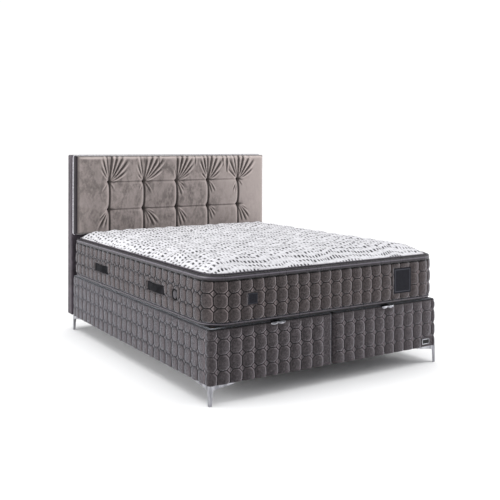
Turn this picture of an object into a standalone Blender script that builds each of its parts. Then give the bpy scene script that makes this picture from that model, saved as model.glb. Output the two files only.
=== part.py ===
"""Upholstered storage bed, 160 x 200 cm.

Two quilted boxes stand side by side on corner legs. Each box has a slatted lid on lift
fittings, and one mattress lies over both lids. A padded headboard hangs on the head end.

Units are metres. X runs across the bed, +Y towards the headboard, +Z up. The origin lies on
the floor, under the middle of the whole bed.
"""

import math

import bmesh
import bpy
from mathutils import Vector

# Overall sizes
BASE_WIDTH = 1.600
BASE_LENGTH = 2.000
LEG_HEIGHT = 0.105
BOX_HEIGHT = 0.287
BOX_GAP = 0.004
HEADBOARD_HEIGHT = 1.262
HEADBOARD_WIDTH = 1.620
HEADBOARD_DEPTH = 0.084
HANDLE_REACH = 0.030

# Gap between pieces that touch
SEAT = 0.0003

# Box walls
COVER = 0.012
BOARD = 0.018
FLOOR_PANEL = 0.008
BOX_CORNER_RADIUS = 0.022
BOX_EDGE_RADIUS = 0.020
TINY_RADIUS = 0.0005

# Legs
LEG_PLATE = 0.003
LEG_INSET = 0.001
LEG_ARM_LENGTH = 0.150
LEG_ARM_TIP = 0.006
LEG_ARM_ROOT = 0.021
LEG_TOP_WIDTH = 0.021
LEG_FOOT_WIDTH = 0.016
LEG_BLEND = 0.014
CENTRE_LEG_TOP_RADIUS = 0.032
CENTRE_LEG_FOOT_RADIUS = 0.020
CENTRE_LEG_FLANGE = 0.006
CENTRE_LEG_SHARES = {"front": 0.25, "middle": 0.5, "rear": 0.75}

# Lids
LID_FRAME_WIDTH = 0.040
LID_FRAME_HEIGHT = 0.028
LID_FRAME_BELOW_RIM = 0.014
LID_FOOT_CLEARANCE = 0.014
LID_HEAD_CLEARANCE = 0.012
SLAT_COUNT = 14
SLAT_WIDTH = 0.070
SLAT_THICKNESS = 0.008
SLAT_RECESS = 0.002
SLAT_SEAT_LENGTH = 0.034
SLAT_END_MARGIN = 0.030
CLEAT_HEIGHT = 0.040
CLEAT_DEPTH = 0.036
BUFFER_RADIUS = 0.010
BUFFER_HEIGHT = 0.006
BUFFER_SHARES = (0.2, 0.8)

# Lift fittings: places along the bed from its head end, heights from the floor panel or rim
PLATE_THICKNESS = 0.004
ARM_THICKNESS = 0.006
CARRIER_THICKNESS = 0.004
FITTING_GAP = 0.0015
ARM_BASE_FROM_HEAD = 0.870
ARM_BASE_ABOVE_FLOOR = 0.047
ARM_TOP_FROM_HEAD = 0.4284
ARM_TOP_BELOW_RIM = 0.022
GUIDE_FROM_HEAD = 0.078
GUIDE_BELOW_RIM = 0.070
STRUT_BASE_FROM_HEAD = 0.5645
STRUT_BASE_ABOVE_FLOOR = 0.037
STRUT_TOP_FROM_HEAD = 0.7303
STRUT_TOP_BELOW_RIM = 0.0826
ARM_SWING = math.radians(35.35)
TILT_SHARE = 0.8488
PIN_RADIUS = 0.004
PIN_CLEARANCE = 0.0004
PIN_HEAD_RADIUS = 0.0075
PIN_HEAD_HEIGHT = 0.003
ROLLER_RADIUS = 0.006
ARM_EYE_RADIUS = 0.016
ARM_HORN_RADIUS = 0.013
GUIDE_PLATE_MARGIN = 0.014
GUIDE_PLATE_BELOW_RIM = 0.003
GUIDE_PLATE_CORNER = 0.0075
CARRIER_EYE_RADIUS = 0.016
STRUT_RADIUS = 0.009
STRUT_ROD_RADIUS = 0.004
STRUT_EYE_RADIUS = 0.011
STRUT_EYE_THICKNESS = 0.009
STRUT_EYE_CLEARANCE = 0.0038
STRUT_STEM_HALF = 0.005
STRUT_CYLINDER_SHARE = 0.72
STRUT_ANGLE_TRIM = -0.0128
STRUT_LENGTH_TRIM = 0.0009
STRUT_WALL = 0.0015

# Handles
HANDLE_THICKNESS = 0.0025
HANDLE_WIDTH = 0.090
HANDLE_STRAP_WIDTH = 0.050
HANDLE_DROP = 0.026
HANDLE_FROM_SPLIT = 0.390
HANDLE_SEAT_LENGTH = 0.034
HANDLE_ROOM = 0.0043
HANDLE_BOW = 0.0025
HANDLE_PROFILE_SHARES = {"neck": 0.66, "upper": 0.85, "lower": 0.70, "bend": 0.25}

# Mattress
MATTRESS_OVERHANG = 0.003
MATTRESS_FOOT_OVERHANG = 0.006
MATTRESS_HEAD_GAP = 0.006
MATTRESS_CORNER_RADIUS = 0.120
MATTRESS_SIDE_HEIGHT = 0.267
MATTRESS_CROWN = 0.062
BORDER_THICKNESS = 0.008
BORDER_BULGE = 0.003
PIPING_HEIGHT = 0.022
PIPING_DEPTH = 0.005
TOP_PIPING_HEIGHT = 0.018
BINDING_INSET = 0.015
BINDING_HEIGHT = 0.011
BINDING_DEPTH = 0.010
BINDING_RISE = 0.0062
CROWN_REACH = 0.200
CROWN_REACH_SHARES = (0.07, 0.24, 0.325, 0.39, 0.50, 0.65, 0.90, 1.25)
CROWN_LIFT_SHARES = (0.025, 0.13, 0.225, 0.355, 0.58, 0.76, 0.92, 1.00)
GRIP_LENGTH = 0.220
GRIP_WIDTH = 0.030
GRIP_THICKNESS = 0.002
GRIP_SHARES = (0.31, 0.77)
SMALL_LABEL_WIDTH = 0.061
SMALL_LABEL_HEIGHT = 0.059
SMALL_LABEL_FROM_SIDE = 0.227
LARGE_LABEL_WIDTH = 0.137
LARGE_LABEL_HEIGHT = 0.150
LARGE_LABEL_FROM_SIDE = 0.213
LABEL_THICKNESS = 0.0015

# Headboard
HEADBOARD_EDGE_RADIUS = 0.010
CUSHION_WIDTH = 1.600
CUSHION_TOP_MARGIN = 0.007
CUSHION_GAP = 0.021
CUSHION_DEPTH = 0.078
CUSHION_SIDE_DEPTH = 0.050
CUSHION_EDGE_RADIUS = 0.030
CUSHION_DRAW_IN = 0.0035
CUSHION_CROWN = 0.008
TUFT_SPACING = 0.276
TUFT_COLUMNS = 5
TUFT_ROW_BELOW_TOP = 0.198
TUFT_ROW_SPACING = 0.203
TUFT_DEPTH = 0.030
TUFT_REACH = 0.034
CHANNEL_DEPTH = 0.010
CHANNEL_REACH = 0.012
CUSHION_PIPING_RADIUS = 0.0045

# Plate on the foot end
BADGE_WIDTH = 0.061
BADGE_HEIGHT = 0.033
BADGE_FRAME = 0.005
BADGE_CORNER = 0.006
BADGE_THICKNESS = 0.003
BADGE_INLAY_THICKNESS = 0.0015
BADGE_FROM_SIDE = 0.082
BADGE_ABOVE_BOTTOM = 0.031

# Levels and places that follow from the sizes above
RIM_Z = LEG_HEIGHT + BOX_HEIGHT
FLOOR_TOP_Z = LEG_HEIGHT + FLOOR_PANEL
HALF_WIDTH = BASE_WIDTH / 2
WALL = COVER + SEAT + BOARD
OVERALL_LENGTH = HANDLE_REACH + BASE_LENGTH + SEAT + HEADBOARD_DEPTH
FOOT_Y = HANDLE_REACH - OVERALL_LENGTH / 2
HEAD_Y = FOOT_Y + BASE_LENGTH
INNER_X = BOX_GAP / 2 + WALL
OUTER_X = HALF_WIDTH - WALL
LID_TOP_Z = RIM_Z - LID_FRAME_BELOW_RIM
LID_BOTTOM_Z = LID_TOP_Z - LID_FRAME_HEIGHT
LID_FOOT_Y = FOOT_Y + WALL + LID_FOOT_CLEARANCE
LID_HEAD_Y = HEAD_Y - WALL - LID_HEAD_CLEARANCE
MATTRESS_Z = RIM_Z + HANDLE_ROOM
MATTRESS_HALF = HALF_WIDTH + MATTRESS_OVERHANG
MATTRESS_FOOT_Y = FOOT_Y - MATTRESS_FOOT_OVERHANG
MATTRESS_HEAD_Y = HEAD_Y - MATTRESS_HEAD_GAP
BORDER_TOP_Z = MATTRESS_Z + MATTRESS_SIDE_HEIGHT
BINDING_TOP_Z = BORDER_TOP_Z + BINDING_RISE
PILLOW_SHELF_Z = BINDING_TOP_Z - BINDING_HEIGHT - SEAT
CORE_TOP_Z = BORDER_TOP_Z - TOP_PIPING_HEIGHT
PANEL_FRONT_Y = HEAD_Y + SEAT
CUSHION_BOTTOM_Z = BINDING_TOP_Z + CUSHION_GAP
CUSHION_TOP_Z = HEADBOARD_HEIGHT - CUSHION_TOP_MARGIN

# Depths of the lift fitting's layers, from the box wall inwards
PLATE_FACE = SEAT + PLATE_THICKNESS
ARM_BACK = PLATE_FACE + FITTING_GAP
ARM_FACE = ARM_BACK + ARM_THICKNESS
CARRIER_BACK = ARM_FACE + FITTING_GAP
CARRIER_FACE = CARRIER_BACK + CARRIER_THICKNESS
FRAME_BACK = CARRIER_FACE + SEAT
STRUT_AXIS = FRAME_BACK + STRUT_RADIUS + FITTING_GAP

# Pivots of the lift fitting, as (y, z)
ARM_BASE = Vector((HEAD_Y - ARM_BASE_FROM_HEAD, FLOOR_TOP_Z + ARM_BASE_ABOVE_FLOOR))
ARM_TOP = Vector((HEAD_Y - ARM_TOP_FROM_HEAD, RIM_Z - ARM_TOP_BELOW_RIM))
GUIDE = Vector((HEAD_Y - GUIDE_FROM_HEAD, RIM_Z - GUIDE_BELOW_RIM))
STRUT_BASE = Vector((HEAD_Y - STRUT_BASE_FROM_HEAD, FLOOR_TOP_Z + STRUT_BASE_ABOVE_FLOOR))
STRUT_TOP = Vector((HEAD_Y - STRUT_TOP_FROM_HEAD, RIM_Z - STRUT_TOP_BELOW_RIM))

SIDES = {"left": -1, "right": 1}


# Scene and objects

def clear_scene():
    for item in list(bpy.data.objects):
        bpy.data.objects.remove(item, do_unlink=True)


def make_collection(name):
    collection = bpy.data.collections.new(name)
    bpy.context.scene.collection.children.link(collection)
    return collection


def material(name, colour, roughness, metallic=0.0):
    made = bpy.data.materials.get(name)
    if made is None:
        made = bpy.data.materials.new(name)
        made.use_nodes = True
        shader = made.node_tree.nodes["Principled BSDF"]
        shader.inputs["Base Color"].default_value = (*colour, 1.0)
        shader.inputs["Roughness"].default_value = roughness
        shader.inputs["Metallic"].default_value = metallic
    return made


def quilt_grey():
    return material("quilted velour", (0.20, 0.19, 0.19), 0.85)


def board_wood():
    return material("chipboard", (0.62, 0.50, 0.36), 0.70)


def beech():
    return material("beech", (0.80, 0.62, 0.42), 0.50)


def chrome():
    return material("chrome", (0.85, 0.85, 0.87), 0.10, 1.0)


def zinc_steel():
    return material("zinc plated steel", (0.60, 0.61, 0.63), 0.35, 1.0)


def black_plastic():
    return material("black plastic", (0.03, 0.03, 0.03), 0.45)


def velvet():
    return material("taupe velvet", (0.30, 0.26, 0.24), 0.80)


def satin_tape():
    return material("satin tape", (0.14, 0.12, 0.14), 0.40)


def knit():
    return material("white knit", (0.86, 0.85, 0.87), 0.90)


def foam():
    return material("foam", (0.85, 0.82, 0.70), 0.90)


def add_mesh(name, mesh, look, location=(0, 0, 0)):
    item = bpy.data.objects.new(name, mesh)
    item.location = location
    mesh.materials.clear()
    mesh.materials.append(look)
    BED.objects.link(item)
    return item


def finish_bmesh(name, shape):
    bmesh.ops.recalc_face_normals(shape, faces=shape.faces)
    mesh = bpy.data.meshes.new(name)
    shape.to_mesh(mesh)
    shape.free()
    return mesh


def smooth(item, angle=40):
    item.data.shade_smooth()
    item.data.set_sharp_from_angle(angle=math.radians(angle))


def add_bevel(item, width, segments=2):
    modifier = item.modifiers.new("rounded edges", "BEVEL")
    modifier.width = width
    modifier.segments = segments
    modifier.limit_method = "ANGLE"


def box_mesh(shape, low, high):
    """Add a box between two corners to a bmesh."""
    made = bmesh.ops.create_cube(shape, size=1)
    size = Vector(high) - Vector(low)
    middle = (Vector(high) + Vector(low)) / 2
    for vert in made["verts"]:
        vert.co = Vector((vert.co.x * size.x, vert.co.y * size.y, vert.co.z * size.z)) + middle


def box(name, low, high, look):
    shape = bmesh.new()
    low_corner = [min(a, b) for a, b in zip(low, high)]
    high_corner = [max(a, b) for a, b in zip(low, high)]
    box_mesh(shape, low_corner, high_corner)
    return add_mesh(name, finish_bmesh(name, shape), look)


def turned(name, profile, look, location, axis="Z", steps=12):
    """A turned piece: (radius, height) points from top to bottom, spun about Z."""
    shape = bmesh.new()
    verts = [shape.verts.new((radius, 0, height)) for radius, height in profile]
    for first, second in zip(verts, verts[1:]):
        shape.edges.new((first, second))
    mesh = bpy.data.meshes.new(name)
    shape.to_mesh(mesh)
    shape.free()
    item = add_mesh(name, mesh, look, location)
    if axis == "X":
        item.rotation_euler = (0, math.pi / 2, 0)
    if axis == "Y":
        item.rotation_euler = (-math.pi / 2, 0, 0)
    screw = item.modifiers.new("turned", "SCREW")
    screw.steps = steps
    screw.render_steps = steps
    screw.use_merge_vertices = True
    screw.merge_threshold = SEAT / 10
    screw.use_smooth_shade = True
    return item


def settle(item):
    """Replace an object by the mesh that its curve and modifiers make, in world space."""
    bpy.context.view_layer.update()
    graph = bpy.context.evaluated_depsgraph_get()
    mesh = bpy.data.meshes.new_from_object(item.evaluated_get(graph))
    mesh.transform(item.matrix_world)
    shape = bmesh.new()
    shape.from_mesh(mesh)
    bmesh.ops.remove_doubles(shape, verts=shape.verts, dist=SEAT / 10)
    bmesh.ops.recalc_face_normals(shape, faces=shape.faces)
    shape.to_mesh(mesh)
    shape.free()
    name = item.name
    look = item.data.materials[0]
    bpy.data.objects.remove(item, do_unlink=True)
    return add_mesh(name, mesh, look)


def unite(name, first, others):
    """Weld overlapping shapes into one solid."""
    made = settle(first)
    for other in others:
        modifier = made.modifiers.new("weld", "BOOLEAN")
        modifier.operation = "UNION"
        modifier.solver = "EXACT"
        modifier.object = other
    joined = settle(made)
    for other in others:
        bpy.data.objects.remove(other, do_unlink=True)
    joined.name = name
    smooth(joined)
    return joined


# Outlines

def arc(centre, radius, start, end, count):
    """Points on an arc, as (a, b) pairs; the angles are in degrees."""
    points = []
    for index in range(count + 1):
        angle = math.radians(start + (end - start) * index / count)
        points.append(Vector((centre[0] + radius * math.cos(angle), centre[1] + radius * math.sin(angle))))
    return points


def rounded_rectangle(low_x, high_x, low_y, high_y, radius, count=3):
    corners = [
        ((high_x - radius, high_y - radius), 0),
        ((low_x + radius, high_y - radius), 90),
        ((low_x + radius, low_y + radius), 180),
        ((high_x - radius, low_y + radius), 270),
    ]
    points = []
    for centre, start in corners:
        points += arc(centre, radius, start, start + 90, count)
    return points


def wrap_circles(circles, count=6):
    """The outline of a belt laid round circles, given anticlockwise as (centre, radius)."""
    points = []
    total = len(circles)
    for index, (centre, radius) in enumerate(circles):
        before, before_radius = circles[index - 1]
        after, after_radius = circles[(index + 1) % total]
        start = belt_angle(before, before_radius, centre, radius)
        end = belt_angle(centre, radius, after, after_radius)
        while end < start:
            end += 360
        points += arc(centre, radius, start, end, count)
    return points


def belt_angle(first, first_radius, second, second_radius):
    """Direction from a circle's centre to where the belt to the next circle leaves it."""
    run = Vector(second) - Vector(first)
    lean = math.asin((first_radius - second_radius) / run.length)
    return math.degrees(math.atan2(run.y, run.x) - math.pi / 2 + lean)


def flat_plate(name, outline, holes, thickness, look, start, across="X"):
    """A plate standing across X or Y: its loops are (y, z) or (x, z) points."""
    curve = bpy.data.curves.new(name, "CURVE")
    curve.dimensions = "2D"
    curve.fill_mode = "BOTH"
    curve.extrude = thickness / 2
    for loop in [outline] + holes:
        spline = curve.splines.new("POLY")
        spline.points.add(len(loop) - 1)
        for point, place in zip(spline.points, loop):
            point.co = (place[0], place[1], 0, 1)
        spline.use_cyclic_u = True
    item = bpy.data.objects.new(name, curve)
    curve.materials.append(look)
    BED.objects.link(item)
    middle = start + thickness / 2
    if across == "X":
        item.rotation_euler = (math.pi / 2, 0, math.pi / 2)
        item.location = (middle, 0, 0)
    else:
        item.rotation_euler = (math.pi / 2, 0, 0)
        item.location = (0, middle, 0)
    return settle(item)


def loft(name, rings, look, closed=False):
    """A solid through rings of equal point counts; closed joins the last ring to the first."""
    shape = bmesh.new()
    loops = []
    for ring in rings:
        verts = [shape.verts.new(point) for point in ring]
        edges = [shape.edges.new((verts[i - 1], verts[i])) for i in range(len(verts))]
        loops.append((verts, edges))
    pairs = list(zip(loops, loops[1:]))
    if closed:
        pairs.append((loops[-1], loops[0]))
    for (first, _), (second, _) in pairs:
        for i in range(len(first)):
            shape.faces.new((first[i - 1], first[i], second[i], second[i - 1]))
    if not closed:
        shape.faces.new(loops[0][0])
        shape.faces.new(loops[-1][0])
    item = add_mesh(name, finish_bmesh(name, shape), look)
    smooth(item)
    return item


def swept_band(name, outline_at, profile, look):
    """Sweep a closed profile round an outline; profile points are (outset, z)."""
    rings = []
    for outset, z in profile:
        rings.append([Vector((p.x, p.y, z)) for p in outline_at(outset)])
    return loft(name, rings, look, closed=True)


# Boxes

def box_outline(side, inset, radius):
    low = BOX_GAP / 2 + inset
    high = HALF_WIDTH - inset
    if side < 0:
        low, high = -high, -low
    return rounded_rectangle(low, high, FOOT_Y + inset, HEAD_Y - inset, radius)


def box_cover(word, side):
    """The quilted cover: round the box, over its rim and down to the boards' inner faces."""
    section = [(0, LEG_HEIGHT, BOX_CORNER_RADIUS)]
    for point in arc((BOX_EDGE_RADIUS, RIM_Z - BOX_EDGE_RADIUS), BOX_EDGE_RADIUS, 180, 90, 4):
        section.append((point.x, point.y, BOX_CORNER_RADIUS - point.x))
    section += [
        (WALL, RIM_Z, TINY_RADIUS),
        (WALL, RIM_Z - COVER, TINY_RADIUS),
        (COVER, RIM_Z - COVER, TINY_RADIUS),
        (COVER, LEG_HEIGHT, TINY_RADIUS),
    ]
    rings = []
    for inset, z, radius in section:
        rings.append([Vector((p.x, p.y, z)) for p in box_outline(side, inset, radius)])
    return loft("base_cover_" + word, rings, quilt_grey(), closed=True)


def box_panels(word, side):
    """Chipboard walls on a floor panel: two long ones, with the end ones between them."""
    bottom = FLOOR_TOP_Z + SEAT
    top = RIM_Z - COVER - SEAT
    face = COVER + SEAT
    foot = FOOT_Y + face
    head = HEAD_Y - face
    outer_face = side * (HALF_WIDTH - face)
    inner_face = side * (BOX_GAP / 2 + face)
    wood = board_wood()
    box("side_panel_" + word, (outer_face, foot, bottom), (side * OUTER_X, head, top), wood)
    box("divider_panel_" + word, (inner_face, foot, bottom), (side * INNER_X, head, top), wood)
    low_x = side * (INNER_X + SEAT)
    high_x = side * (OUTER_X - SEAT)
    box("foot_panel_" + word, (low_x, foot, bottom), (high_x, foot + BOARD, top), wood)
    box("head_panel_" + word, (low_x, head - BOARD, bottom), (high_x, head, top), wood)
    box("floor_panel_" + word, (inner_face, foot, LEG_HEIGHT), (outer_face, head, FLOOR_TOP_Z), wood)


# Legs

def leg_wing():
    """Outline of one wing of a corner leg, from its corner edge outwards, as (run, z)."""
    top = LEG_HEIGHT - SEAT
    root = top - LEG_ARM_ROOT
    tip = top - LEG_ARM_TIP
    points = [(0, 0), (LEG_FOOT_WIDTH, 0), (LEG_TOP_WIDTH, root - LEG_BLEND)]
    bend = arc((LEG_TOP_WIDTH + LEG_BLEND, root - LEG_BLEND), LEG_BLEND, 180, 90, 3)
    points += [(point.x, point.y) for point in bend[1:]]
    points += [(LEG_ARM_LENGTH, tip), (LEG_ARM_LENGTH, top), (0, top)]
    return points


def corner_leg(name, side, y, inward):
    """A folded chrome leg: two wings under the box edges and a flange under the floor."""
    x = side * (HALF_WIDTH - LEG_INSET)
    outline = leg_wing()
    shape = bmesh.new()
    along = [shape.verts.new((x - side * run, y, z)) for run, z in outline]
    across = []
    for (run, z), vert in zip(outline, along):
        across.append(vert if run == 0 else shape.verts.new((x, y + inward * run, z)))
    flange = [along[-1], along[-2], across[-2]]
    if side == inward:
        shape.faces.new(reversed(along))
        shape.faces.new(across)
        shape.faces.new(reversed(flange))
    else:
        shape.faces.new(along)
        shape.faces.new(reversed(across))
        shape.faces.new(flange)
    mesh = bpy.data.meshes.new(name)
    shape.to_mesh(mesh)
    shape.free()
    item = add_mesh(name, mesh, chrome())
    solid = item.modifiers.new("plate", "SOLIDIFY")
    solid.thickness = LEG_PLATE
    solid.offset = -1
    solid.use_even_offset = True
    return item


def centre_legs():
    """Round plastic legs under the seam between the boxes."""
    top = LEG_HEIGHT - SEAT
    profile = [
        (0, top),
        (CENTRE_LEG_TOP_RADIUS, top),
        (CENTRE_LEG_TOP_RADIUS, top - CENTRE_LEG_FLANGE),
        (CENTRE_LEG_FOOT_RADIUS, 0),
        (0, 0),
    ]
    for word, share in CENTRE_LEG_SHARES.items():
        place = (0, FOOT_Y + BASE_LENGTH * share, 0)
        turned("centre_leg_" + word, profile, black_plastic(), place, steps=16)


# Lift fittings

def turn(vector, angle):
    """Turn a (y, z) vector so that the foot end of the bed would rise."""
    return Vector((
        vector.x * math.cos(angle) + vector.y * math.sin(angle),
        vector.y * math.cos(angle) - vector.x * math.sin(angle),
    ))


def lid_point(place, swing):
    """Where a point of the lid lies once the arms have swung by an angle."""
    arm_top = ARM_BASE + turn(ARM_TOP - ARM_BASE, -swing)
    return arm_top + turn(place - ARM_TOP, TILT_SHARE * swing)


def guide_path(count=16):
    return [lid_point(GUIDE, ARM_SWING * index / count) for index in range(count + 1)]


def slot_outline():
    """The guide slot: the roller's path, made as wide as the roller with its clearance."""
    path = guide_path()
    half = ROLLER_RADIUS + PIN_CLEARANCE
    left, right = [], []
    for index, point in enumerate(path):
        before = path[max(index - 1, 0)]
        after = path[min(index + 1, len(path) - 1)]
        run = (after - before).normalized()
        side = Vector((-run.y, run.x)) * half
        left.append(point + side)
        right.append(point - side)
    first = (path[1] - path[0]).normalized()
    last = (path[-1] - path[-2]).normalized()
    first_angle = math.degrees(math.atan2(first.y, first.x))
    last_angle = math.degrees(math.atan2(last.y, last.x))
    far_end = arc(path[-1], half, last_angle - 90, last_angle + 90, 5)
    near_end = arc(path[0], half, first_angle + 90, first_angle + 270, 5)
    return right[1:-1] + far_end + list(reversed(left[1:-1])) + near_end


def circle(centre, radius, count=12):
    return arc(centre, radius, 0, 360 * (count - 1) / count, count - 1)


def wall_x(side, wall, depth):
    """X of a point at a depth in from a box's outer wall or divider."""
    if wall == "outer":
        return side * (OUTER_X - depth)
    return side * (INNER_X + depth)


def fitting_plate(name, outline, holes, side, wall, back, face):
    """A flat steel part of the lift fitting between two depths from the wall."""
    start = min(wall_x(side, wall, back), wall_x(side, wall, face))
    return flat_plate(name, outline, holes, face - back, zinc_steel(), start)


def guide_plate(name, side, wall):
    """The plate on the box wall with the arm's pin, the strut's stud and the guide slot."""
    margin = ROLLER_RADIUS + PIN_CLEARANCE + GUIDE_PLATE_MARGIN
    corner = GUIDE_PLATE_CORNER
    slot_end = guide_path()[-1]
    top = RIM_Z - GUIDE_PLATE_BELOW_RIM
    outline = wrap_circles([
        (ARM_BASE, ARM_EYE_RADIUS),
        (STRUT_BASE, ARM_EYE_RADIUS),
        (GUIDE, margin),
        (Vector((GUIDE.x + margin - corner, top - corner)), corner),
        (Vector((slot_end.x - margin, top - corner)), corner),
    ])
    plate = fitting_plate(name + "_sheet", outline, [slot_outline()], side, wall, SEAT, PLATE_FACE)
    inside = (SEAT + PLATE_FACE) / 2
    head = ARM_FACE + SEAT
    pin = stepped_pin(name + "_pin", side, wall, ARM_BASE, [
        (inside, head, PIN_RADIUS),
        (head, head + PIN_HEAD_HEIGHT, PIN_HEAD_RADIUS),
    ])
    stud = strut_stud(name + "_stud", side, wall, STRUT_BASE, inside)
    return unite(name, plate, [pin, stud])


def strut_stud(name, side, wall, place, start):
    """A collared stud that stands out through a strut's eye."""
    collar = STRUT_AXIS - STRUT_EYE_THICKNESS / 2 - SEAT
    return stepped_pin(name, side, wall, place, [
        (start, collar, PIN_HEAD_RADIUS),
        (collar, STRUT_AXIS + STRUT_EYE_THICKNESS, PIN_RADIUS),
    ])


def lift_arm(name, side, wall):
    """The arm that swings the lid: an eye at each end and a horn that the strut pushes on."""
    bore = PIN_RADIUS + PIN_CLEARANCE
    outline = wrap_circles([
        (ARM_BASE, ARM_EYE_RADIUS),
        (ARM_TOP, ARM_EYE_RADIUS),
        (STRUT_TOP, ARM_HORN_RADIUS),
    ])
    holes = [circle(ARM_BASE, bore), circle(ARM_TOP, bore)]
    sheet = fitting_plate(name + "_sheet", outline, holes, side, wall, ARM_BACK, ARM_FACE)
    stud = strut_stud(name + "_stud", side, wall, STRUT_TOP, (ARM_BACK + ARM_FACE) / 2)
    return unite(name, sheet, [stud])


def carrier_plate(name, side, wall):
    """The bracket on the lid's side rail with the arm's pin and the guide roller."""
    outline = wrap_circles([
        (ARM_TOP, CARRIER_EYE_RADIUS),
        (GUIDE, CARRIER_EYE_RADIUS),
        (Vector((GUIDE.x, ARM_TOP.y)), CARRIER_EYE_RADIUS),
    ])
    sheet = fitting_plate(name + "_sheet", outline, [], side, wall, CARRIER_BACK, CARRIER_FACE)
    inside = (CARRIER_BACK + CARRIER_FACE) / 2
    head = ARM_BACK - SEAT
    pin = stepped_pin(name + "_pin", side, wall, ARM_TOP, [
        (PLATE_FACE + SEAT, head, PIN_HEAD_RADIUS),
        (head, inside, PIN_RADIUS),
    ])
    roller = stepped_pin(name + "_roller", side, wall, GUIDE, [(2 * SEAT, inside, ROLLER_RADIUS)])
    return unite(name, sheet, [pin, roller])


def stepped_pin(name, side, wall, place, steps):
    """A turned pin along X: each step is (depth from, depth to, radius), from the wall inwards."""
    spans = []
    for start, end, radius in steps:
        low, high = sorted((wall_x(side, wall, start), wall_x(side, wall, end)))
        spans.append((high, low, radius))
    spans.sort(reverse=True)
    profile = [(0, spans[0][0])]
    for high, low, radius in spans:
        profile += [(radius, high), (radius, low)]
    profile.append((0, spans[-1][1]))
    pin = turned(name, profile, zinc_steel(), (0, place[0], place[1]), axis="X")
    return settle(pin)


def strut_line():
    """Start, direction and closed length of a gas strut, as it is stored in its fitting."""
    run = STRUT_TOP - STRUT_BASE
    angle = math.atan2(run.y, run.x) + STRUT_ANGLE_TRIM
    return Vector((math.cos(angle), math.sin(angle))), run.length + STRUT_LENGTH_TRIM


def strut_eye(name, place, bore, direction, stem_end, x, look):
    """An eye with a short stem, cut from plate."""
    across = Vector((-direction.y, direction.x))
    heading = math.degrees(math.atan2(direction.y, direction.x))
    half = math.degrees(math.asin(STRUT_STEM_HALF / STRUT_EYE_RADIUS))
    outline = arc(place, STRUT_EYE_RADIUS, heading + half, heading + 360 - half, 10)
    far = place + direction * stem_end
    outline += [far - across * STRUT_STEM_HALF, far + across * STRUT_STEM_HALF]
    start = x - STRUT_EYE_THICKNESS / 2
    return flat_plate(name, outline, [circle(place, bore)], STRUT_EYE_THICKNESS, look, start)


def strut_tube(name, direction, profile, x, look):
    """A turned shape whose axis runs from the strut's base pivot along its direction."""
    item = turned(name, profile, look, (x, STRUT_BASE[0], STRUT_BASE[1]))
    heading = math.atan2(direction.y, direction.x)
    item.rotation_euler = (heading - math.pi / 2, 0, 0)
    return item


def gas_strut(name, side, wall):
    """Cylinder and rod of one gas strut, each with its eye."""
    direction, length = strut_line()
    x = wall_x(side, wall, STRUT_AXIS)
    start = STRUT_EYE_RADIUS + SEAT
    body = length * STRUT_CYLINDER_SHARE
    bore = STRUT_RADIUS - STRUT_WALL
    rod_hole = STRUT_ROD_RADIUS + PIN_CLEARANCE
    cylinder = [
        (0, start + STRUT_WALL),
        (bore, start + STRUT_WALL),
        (bore, body - STRUT_WALL),
        (rod_hole, body - STRUT_WALL),
        (rod_hole, body),
        (STRUT_RADIUS, body),
        (STRUT_RADIUS, start),
        (0, start),
    ]
    tube = strut_tube(name + "_tube", direction, cylinder, x, black_plastic())
    low_eye = strut_eye(
        name + "_low_eye", STRUT_BASE, PIN_RADIUS + PIN_CLEARANCE, direction,
        start + STRUT_WALL / 2, x, black_plastic(),
    )
    rod_end = length - STRUT_EYE_RADIUS - SEAT
    rod_start = start + STRUT_WALL + FITTING_GAP
    piston = bore - PIN_CLEARANCE
    rod = [
        (0, rod_end),
        (STRUT_ROD_RADIUS, rod_end),
        (STRUT_ROD_RADIUS, rod_start + STRUT_RADIUS),
        (piston, rod_start + STRUT_RADIUS),
        (piston, rod_start),
        (0, rod_start),
    ]
    stem = strut_tube(name + "_stem", direction, rod, x, chrome())
    high_eye = strut_eye(
        name + "_high_eye", STRUT_BASE + direction * length, PIN_RADIUS + STRUT_EYE_CLEARANCE,
        -direction, STRUT_EYE_RADIUS + STRUT_EYE_CLEARANCE, x, chrome(),
    )
    unite(name.replace("gas_strut", "strut_cylinder"), tube, [low_eye])
    unite(name.replace("gas_strut", "strut_rod"), stem, [high_eye])


def lift_fittings():
    """One fitting at each side of each box: plate, arm, carrier and gas strut."""
    for word, side in SIDES.items():
        for wall in ("outer", "inner"):
            tag = "_%s_%s" % (word, wall)
            guide_plate("guide_plate" + tag, side, wall)
            lift_arm("lift_arm" + tag, side, wall)
            carrier_plate("carrier_plate" + tag, side, wall)
            gas_strut("gas_strut" + tag, side, wall)


# Lids

def lid_x(side):
    """Inner and outer X of a lid's frame."""
    return side * (INNER_X + FRAME_BACK), side * (OUTER_X - FRAME_BACK)


def lid_frame(word, side):
    """A mitred wooden frame with sprung slats let into its side rails."""
    first, second = lid_x(side)
    low, high = min(first, second), max(first, second)
    rings = []
    inner = LID_FRAME_WIDTH
    section = [(0, LID_BOTTOM_Z), (0, LID_TOP_Z), (inner, LID_TOP_Z), (inner, LID_BOTTOM_Z)]
    for inset, z in section:
        rings.append([
            Vector((high - inset, LID_HEAD_Y - inset, z)),
            Vector((low + inset, LID_HEAD_Y - inset, z)),
            Vector((low + inset, LID_FOOT_Y + inset, z)),
            Vector((high - inset, LID_FOOT_Y + inset, z)),
        ])
    frame = loft("rails", rings, beech(), closed=True)
    inset = LID_FRAME_WIDTH - SLAT_SEAT_LENGTH
    slats = [slat("slat_%d" % number, low + inset, high - inset, y) for number, y in enumerate(slat_places())]
    return unite("lid_frame_" + word, frame, slats)


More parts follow.
